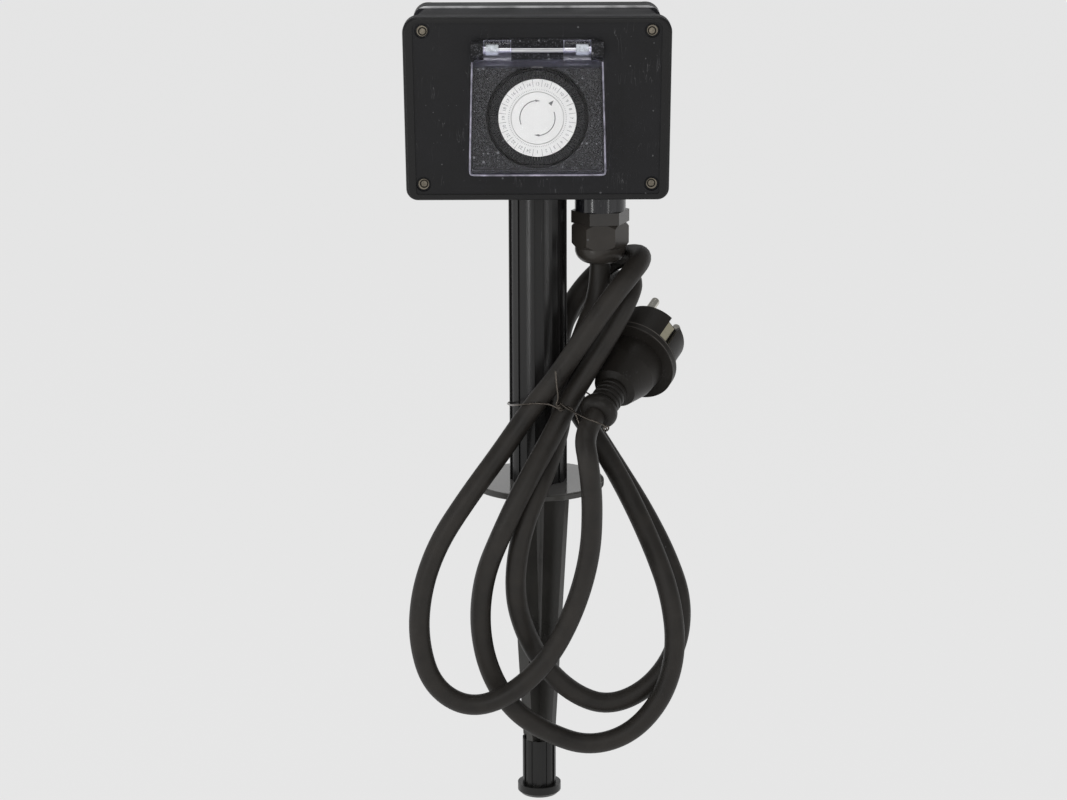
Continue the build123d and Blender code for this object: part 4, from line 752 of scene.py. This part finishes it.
class SOCKETPOST_OT_dial(bpy.types.Operator):
    """Finish the dial and print its hours, arrows and pointer"""
    bl_idname = "socket_post.dial"
    bl_label = "Dial"

    def execute(self, context):
        look = settings("socket_dial")
        dress(plastic("Dial white", look.white, gloss=(0.42, 0.5), tone=0.02,
                      grain=(2500.0, 0.00001)), "dial_face", "dial_centre")
        black = {"colour": (0.009, 0.009, 0.01), "gloss": (0.4, 0.5), "specular": 0.2}
        dress(plastic("Dial black", **black),
              *[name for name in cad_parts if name.startswith("hour_tabs_")])
        drum = plastic("Drum plastic", **black)
        self.paint_light_in_gap(drum)
        dress(drum, "dial_drum")
        matt = {"gloss": (0.5, 0.6), "grain": (4000.0, 0.00001)}
        ink = plastic("Dial ink", look.ink, tone=0.1, **matt)
        faint = plastic("Faint dial ink", look.faint, tone=0.3, cloud=250.0, **matt)
        self.print_ring(look, faint)
        self.print_centre(ink)
        return {"FINISHED"}

    def paint_light_in_gap(self, made):
        """The drum is painted pale where it shows in the gap between the ring and the fixed centre:
        painted light over the gap's shade.
        """
        tree, shader, place = parts_of(made)
        low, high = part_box("dial_face")
        centre = (low + high) / 2
        hub, hub_full = 0.0148, 0.0146
        at = axes(tree, place)
        radius = slope_length(tree, away_from(tree, at["X"], centre.x),
                              away_from(tree, at["Z"], centre.z))
        # Painted light where the gap would be in shade
        paint(tree, shader, remap(tree, radius, hub, hub_full), (0.6, 0.6, 0.59))

    def print_ring(self, look, ink):
        """Hour lines, the thin inner circle and the numerals turn with the dial."""
        place = dial_place()
        tree = ring_of_bars_tree(ink)
        hour, raised = 2 * math.pi / look.hours, 0.00008
        for name, count, inner, outer in (("dial_hour_lines", look.hours, 0.0160, 0.0196),
                                          ("dial_quarter_ticks", 4 * look.hours, 0.0143, 0.0149)):
            lines = ring_of_bars(tree, name, place, {
                "Count": count, "Inner Radius": inner, "Outer Radius": outer,
                "Width": look.line, "Height": raised, "Turn": hour / 2})
            finished_piece(name, lines, ink, "dial")
        # The dial rests with this hour in this direction
        first, direction = 10, math.radians(45)
        builder = bmesh.new()
        for i in range(look.hours):
            self.add_numeral(builder, str((first + i - 1) % look.hours + 1),
                             direction + i * hour, look.numeral, place)
        finished_piece("dial_numerals", mesh_from(builder, "dial_numerals"), ink, "dial")

    def add_numeral(self, builder, words, angle, height, place):
        """A number whose top faces outwards, later hours further against the clock."""
        radius, size_of_height, raised = 0.0172, 1.35, 0.00004
        curve = bpy.data.curves.new("numeral", "FONT")
        curve.body = words
        curve.size = height * size_of_height
        curve.align_x = "CENTER"
        curve.align_y = "CENTER"
        curve.extrude = raised
        curve.resolution_u = 3
        holder = new_object("numeral", curve)
        mesh = evaluated_mesh(holder)
        mesh.transform(place @ Matrix.Rotation(angle - math.radians(90), 4, "Z")
                       @ Matrix.Translation((0, radius, 0)))
        builder.from_mesh(mesh)
        bpy.data.objects.remove(holder)
        bpy.data.curves.remove(curve)
        bpy.data.meshes.remove(mesh)

    def print_centre(self, ink):
        """Two turning arrows and the time pointer, on the fixed centre."""
        place, thick = dial_place(), 0.00005
        radius, half, steps = 0.0089, 0.00022, 40
        head, head_lean, head_angle = 0.0006, 0.0001, math.radians(17)
        builder = bmesh.new()
        for start, end in ((201.0, 97.0), (20.0, -84.0)):
            angles = [math.radians(start + (end - start) * k / steps) for k in range(steps + 1)]
            for one, two in zip(angles, angles[1:]):
                plate(builder, ((radius - half, one), (radius - half, two),
                                (radius + half, two), (radius + half, one)), place, thick)
            last = angles[-1]
            plate(builder, ((radius - head, last), (radius - head_lean, last - head_angle),
                            (radius + head, last)), place, thick)
        direction, wide, base, tip = math.radians(47.5), math.radians(6.5), 0.0094, 0.0121
        plate(builder, ((tip, direction), (base, direction + wide), (base, direction - wide)),
              place, thick)
        bmesh.ops.recalc_face_normals(builder, faces=builder.faces)
        finished_piece("dial_arrows", mesh_from(builder, "dial_arrows"), ink, "root")


class SOCKETPOST_OT_lead(bpy.types.Operator):
    """Lay the lead in its tied loops, with the wire that ties it"""
    bl_idname = "socket_post.lead"
    bl_label = "Lead"

    def execute(self, context):
        look = settings("socket_lead")
        rubber = plastic("Lead rubber", look.rubber, gloss=(0.42, 0.58), grain=(2600.0, 0.00004),
                         tone=0.35, cloud=70.0, dust=0.02, scratches=0.25, dust_tone=0.09,
                         specular=0.32)
        dress(rubber, "supply_cord_entry")
        curve = route_curve("lead", LEAD_ROUTE, look.diameter)
        curve.materials.append(rubber)
        lead = new_object("lead", curve)
        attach(lead, "root")
        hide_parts("supply_cord_exit", "supply_cord_hank")
        tie = self.tie(look)
        return {"FINISHED"}

    def tie(self, look):
        """The wire goes round post and strands, and its two ends twist together in the knot."""
        route = [*reversed(TIE_TAIL_UP), *self.twist(0.0, 2.25), *TIE_ROUTE,
                 *self.twist(math.pi, 2.0), *TIE_TAIL_DOWN]
        curve = route_curve("tie", route, look.tie, along=6, around=3)
        curve.materials.append(
            metal("Tie wire", (0.15, 0.132, 0.115), rough=(0.22, 0.4), tarnish=0.4))
        tie = new_object("tie", curve)
        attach(tie, "root")
        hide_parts("tie_wire")
        return tie

    def twist(self, phase, turns):
        """Points of one of the two strands that wind round the knot's axis, in millimetres."""
        along = Vector(KNOT_AXIS).normalized()
        side = along.cross(Vector((0, 1, 0))).normalized()
        front = along.cross(side)
        steps = turns * KNOT_POINTS
        points = []
        for k in range(int(steps) + 1):
            angle = phase + k * 2 * math.pi / KNOT_POINTS
            rise = KNOT_LENGTH / 2 - KNOT_LENGTH * k / steps
            points.append(tuple(
                Vector(TIE_KNOT) + along * rise
                + (side * math.cos(angle) + front * math.sin(angle)) * KNOT_RADIUS))
        return points


class SOCKETPOST_OT_post(bpy.types.Operator):
    """Finish the post, the ground spike and its tip guard"""
    bl_idname = "socket_post.post"
    bl_label = "Post"

    def execute(self, context):
        dress(plastic("Post plastic", (0.011, 0.0105, 0.0102), gloss=(0.2, 0.28), specular=0.35,
                      grain=(900.0, 0.00003), tone=0.25, cloud=40.0, scratches=0.4, dust=0.02,
                      stretch=(1.0, 1.0, 0.06)), "post_tube")
        spike = plastic("Spike plastic", (0.048, 0.0463, 0.0423), gloss=(0.26, 0.38),
                        grain=(1200.0, 0.00002), tone=0.25, cloud=30.0, scratches=0.5, dust=0.08,
                        specular=0.5)
        self.polish_disc_paint_reflection(spike)
        dress(spike, "ground_spike")
        dress(plastic("Tip guard plastic", (0.0085, 0.0082, 0.0076), gloss=(0.28, 0.4),
                      scratches=0.3, dust=0.03, specular=0.4), "tip_guard")
        return {"FINISHED"}

    def polish_disc_paint_reflection(self, made):
        """The ground disc's upper face is glossier than the spike under it, and painted paler as a
        painted reflection of the bright room.
        """
        tree, shader, place = parts_of(made)
        under, face, gloss_share = 0.0031, 0.0033, 0.3
        top = remap(tree, axes(tree, place)["Z"], under, face)
        rough = shader.inputs["Roughness"].links[0].from_socket
        smooth = remap(tree, top, 0.0, 1.0, 1.0, gloss_share)
        feed(tree, shader, {"Roughness": times(tree, rough, smooth)})
        # Painted reflection on the disc's upper face
        paint(tree, shader, top, (0.165, 0.161, 0.156))


class SOCKETPOST_OT_gland(bpy.types.Operator):
    """Finish the cable gland under the box"""
    bl_idname = "socket_post.gland"
    bl_label = "Cable gland"

    def execute(self, context):
        nylon = (0.05, 0.0443, 0.0387)
        dress(plastic("Gland nylon", nylon, gloss=(0.28, 0.38), grain=(1600.0, 0.00003),
                      dust=0.06), "gland_nut", "gland_lock_nut")
        dress(plastic("Gland body nylon", shade(nylon, 0.7), gloss=(0.13, 0.2),
                      grain=(1600.0, 0.00001), dust=0.03, specular=0.55), "gland_body")
        return {"FINISHED"}


class SOCKETPOST_OT_plug(bpy.types.Operator):
    """Finish the plug, its pins and its earth strips"""
    bl_idname = "socket_post.plug"
    bl_label = "Plug"

    def execute(self, context):
        rubber = plastic("Plug rubber", (0.0155, 0.0136, 0.0116), gloss=(0.34, 0.5),
                         grain=(1800.0, 0.00005), dust=0.05, scratches=0.4, specular=0.25)
        self.paint_collar_highlights(rubber)
        dress(rubber, "plug_body")
        dress(metal("Nickel pin", (0.7, 0.68, 0.62), rough=(0.15, 0.3)), "plug_pins")
        dress(metal("Earth strip", (0.93, 0.87, 0.66), rough=(0.14, 0.25), tarnish=0.1),
              "plug_earth_contacts")
        return {"FINISHED"}

    def paint_collar_highlights(self, made):
        """Thin light lines painted across the collar at two distances along the plug: painted
        highlights on its edges.
        """
        tree, shader, place = parts_of(made)
        # Distances along the plug from where the lead ends
        distances, half_width, core = (0.0499, 0.0534), 0.0004, 0.0001
        start, before = (Vector(point) * MM for point in (LEAD_ROUTE[-1], LEAD_ROUTE[-2]))
        away = vector_calc(tree, "SUBTRACT", place, start)[0]
        along = vector_calc(tree, "DOT_PRODUCT", away, (start - before).normalized())["Value"]
        lines = [remap(tree, away_from(tree, along, distance), half_width, core)
                 for distance in distances]
        highlight_breakup = remap(tree, noise(tree, place, 70.0), 0.35, 0.6)
        # Painted highlights on the collar's edges, broken up by noise
        paint(tree, shader, times(tree, highest(tree, lines), highlight_breakup), (0.12, 0.11, 0.1))


class SOCKETPOST_OT_sockets(bpy.types.Operator):
    """Finish the two sockets, their lids and contacts"""
    bl_idname = "socket_post.sockets"
    bl_label = "Sockets"

    def execute(self, context):
        look = settings("socket_case")
        dress(plastic("Socket plastic", (0.015, 0.015, 0.016), gloss=(0.35, 0.45), dust=0.05),
              "socket_insert_left", "socket_insert_right")
        dress(plastic("Lid plastic", look.cover, gloss=(0.32, 0.42), grain=(1300.0, look.grain),
                      dust=look.dust, scratches=0.4), "socket_lid_left", "socket_lid_right")
        dress(metal("Contact brass", (0.72, 0.56, 0.28)), "socket_contacts", "terminal_screws")
        dress(metal("Spring strip", (0.6, 0.58, 0.54)), "earth_clips", "switch_lever")
        return {"FINISHED"}


class SOCKETPOST_OT_works(bpy.types.Operator):
    """Finish the timer works and the wiring inside the box"""
    bl_idname = "socket_post.works"
    bl_label = "Works"

    def execute(self, context):
        dress(plastic("Works plastic", (0.03, 0.03, 0.03), gloss=(0.4, 0.55)), "timer_case",
              "timer_deck", "microswitch")
        dress(metal("Motor can", (0.6, 0.6, 0.6)), "timer_motor", "dial_spindle")
        dress(plastic("Nylon", (0.75, 0.72, 0.62), tone=0.05), "motor_pinion", "terminal_block")
        dress(plastic("Core insulation", (0.22, 0.1, 0.04), gloss=(0.3, 0.4)), "core_wires")
        return {"FINISHED"}


# The lamps' names, places, sizes and watts, and the point that all of them face
MIDDLE = (0.0, 0.0, 0.06)
LAMPS = (
    ("Key", (-0.14, -1.5, 0.66), (0.8, 0.7), 3.8),
    ("Strip left", (-0.36, -0.52, 0.06), (0.03, 0.26), 0.36),
    ("Strip right", (0.4, -0.52, 0.06), (0.03, 0.26), 0.17),
    ("Left", (-1.3, -0.2, 0.3), (0.9, 1.1), 1.7),
    ("Right", (1.25, -0.7, 0.3), (0.8, 1.0), 0.85),
    ("Top", (0.0, 0.0, 1.6), (0.9, 0.5), 4.8),
)


def soft_lamp(name, place, size, power):
    """A rectangular lamp that faces the middle and isn't seen itself."""
    light = bpy.data.lights.new(name, "AREA")
    light.shape = "RECTANGLE"
    light.size, light.size_y = size
    light.energy = power
    lamp = new_object(name, light)
    lamp.location = place
    lamp.rotation_euler = (Vector(MIDDLE) - Vector(place)).to_track_quat("-Z", "Y").to_euler()
    lamp.visible_camera = False


class SOCKETPOST_OT_stage(bpy.types.Operator):
    """Set up floor, backdrop, studio light and camera"""
    bl_idname = "socket_post.stage"
    bl_label = "Stage"

    def execute(self, context):
        look = settings("socket_stage")
        self.paper(look)
        self.world(look)
        for lamp in LAMPS:
            soft_lamp(*lamp)
        place, tilt, roll = (-0.0025, -1.5567, 0.4291), math.radians(76.2), math.radians(-0.2)
        data = bpy.data.cameras.new("Camera")
        data.lens = 101.15
        data.sensor_width = 36.0
        camera = new_object("Camera", data)
        turn = Matrix.Rotation(tilt, 4, "X") @ Matrix.Rotation(roll, 4, "Z")
        camera.matrix_world = Matrix.Translation(place) @ turn
        context.scene.camera = camera
        context.scene.view_settings.view_transform = "Standard"
        return {"FINISHED"}

    def seen_directly(self, tree):
        """1 for what camera and clear plastic see and, as the second value, for what gloss sees."""
        path = tree.nodes.new("ShaderNodeLightPath").outputs
        clear = calc(tree, "MAXIMUM", path["Is Camera Ray"], path["Is Transmission Ray"])
        return clear, path["Is Glossy Ray"]

    def paper(self, look):
        """Floor paper, and a strip of it behind that only reflections show."""
        made = bpy.data.materials.new("Backdrop")
        made.use_nodes = True
        tree = made.node_tree
        tree.nodes.clear()
        glow_strength, glow_share = 1.03, 0.92
        paper = add_node(tree, "ShaderNodeBsdfDiffuse", {"Color": rgba(look.backdrop)})
        glow = add_node(tree, "ShaderNodeEmission", {"Color": rgba(look.backdrop),
                                                     "Strength": glow_strength})
        share = times(tree, calc(tree, "MAXIMUM", *self.seen_directly(tree)), glow_share)
        mixed = add_node(tree, "ShaderNodeMixShader", {0: share, 1: paper.outputs[0],
                                                       2: glow.outputs[0]})
        add_node(tree, "ShaderNodeOutputMaterial", {0: mixed.outputs[0]})
        far, wide, y, top = 20.0, 2.0, 0.7, 0.28
        sheets = {
            "Floor": ((-far, -far, FLOOR_Z), (far, -far, FLOOR_Z), (far, far, FLOOR_Z),
                      (-far, far, FLOOR_Z)),
            "Back strip": ((-wide, y, FLOOR_Z), (wide, y, FLOOR_Z), (wide, y, top),
                           (-wide, y, top))}
        for name, corners in sheets.items():
            builder = bmesh.new()
            builder.faces.new([builder.verts.new(corner) for corner in corners])
            sheet = new_object(name, mesh_from(builder, name))
            sheet.data.materials.append(made)
            if name != "Floor":
                sheet.visible_camera = sheet.visible_diffuse = sheet.visible_shadow = False

    def world(self, look):
        """Even light from all round, full where it is seen directly and dim where gloss sees it."""
        world = bpy.data.worlds.new("Studio")
        bpy.context.scene.world = world
        world.use_nodes = True
        tree = world.node_tree
        tree.nodes.clear()
        clear, gloss = self.seen_directly(tree)
        strength = plus(tree, times(tree, clear, 1.0 - look.fill), look.fill)
        strength = plus(tree, strength, times(tree, gloss, look.shine - look.fill))
        back = add_node(tree, "ShaderNodeBackground", {"Color": rgba(look.backdrop),
                                                       "Strength": strength})
        add_node(tree, "ShaderNodeOutputWorld", {0: back.outputs[0]})


OPERATORS = (SOCKETPOST_OT_stage, SOCKETPOST_OT_lead, SOCKETPOST_OT_case, SOCKETPOST_OT_flap,
             SOCKETPOST_OT_dial, SOCKETPOST_OT_post, SOCKETPOST_OT_gland, SOCKETPOST_OT_plug,
             SOCKETPOST_OT_sockets, SOCKETPOST_OT_works)
GROUPS = {"socket_case": CaseSettings, "socket_flap": FlapSettings, "socket_dial": DialSettings,
          "socket_lead": LeadSettings, "socket_stage": StageSettings}


class SOCKETPOST_PT_panel(bpy.types.Panel):
    """Sizes, colours and steps of the socket post"""
    bl_idname = "SOCKETPOST_PT_panel"
    bl_label = "Socket Post"
    bl_space_type = "VIEW_3D"
    bl_region_type = "UI"
    bl_category = "Socket Post"

    def draw(self, context):
        for name, group in GROUPS.items():
            box = self.layout.box()
            for key in group.__annotations__:
                box.prop(settings(name), key)
        for operator in OPERATORS:
            self.layout.operator(operator.bl_idname)


def register():
    for kind in (*GROUPS.values(), *OPERATORS, SOCKETPOST_PT_panel):
        bpy.utils.register_class(kind)
    for name, group in GROUPS.items():
        setattr(bpy.types.Scene, name, PointerProperty(type=group))


def unregister():
    for name in GROUPS:
        delattr(bpy.types.Scene, name)
    for kind in reversed((*GROUPS.values(), *OPERATORS, SOCKETPOST_PT_panel)):
        bpy.utils.unregister_class(kind)


def main():
    register()
    for operator in OPERATORS:
        group, name = operator.bl_idname.split(".")
        getattr(getattr(bpy.ops, group), name)()


if __name__ == "__main__":
    main()
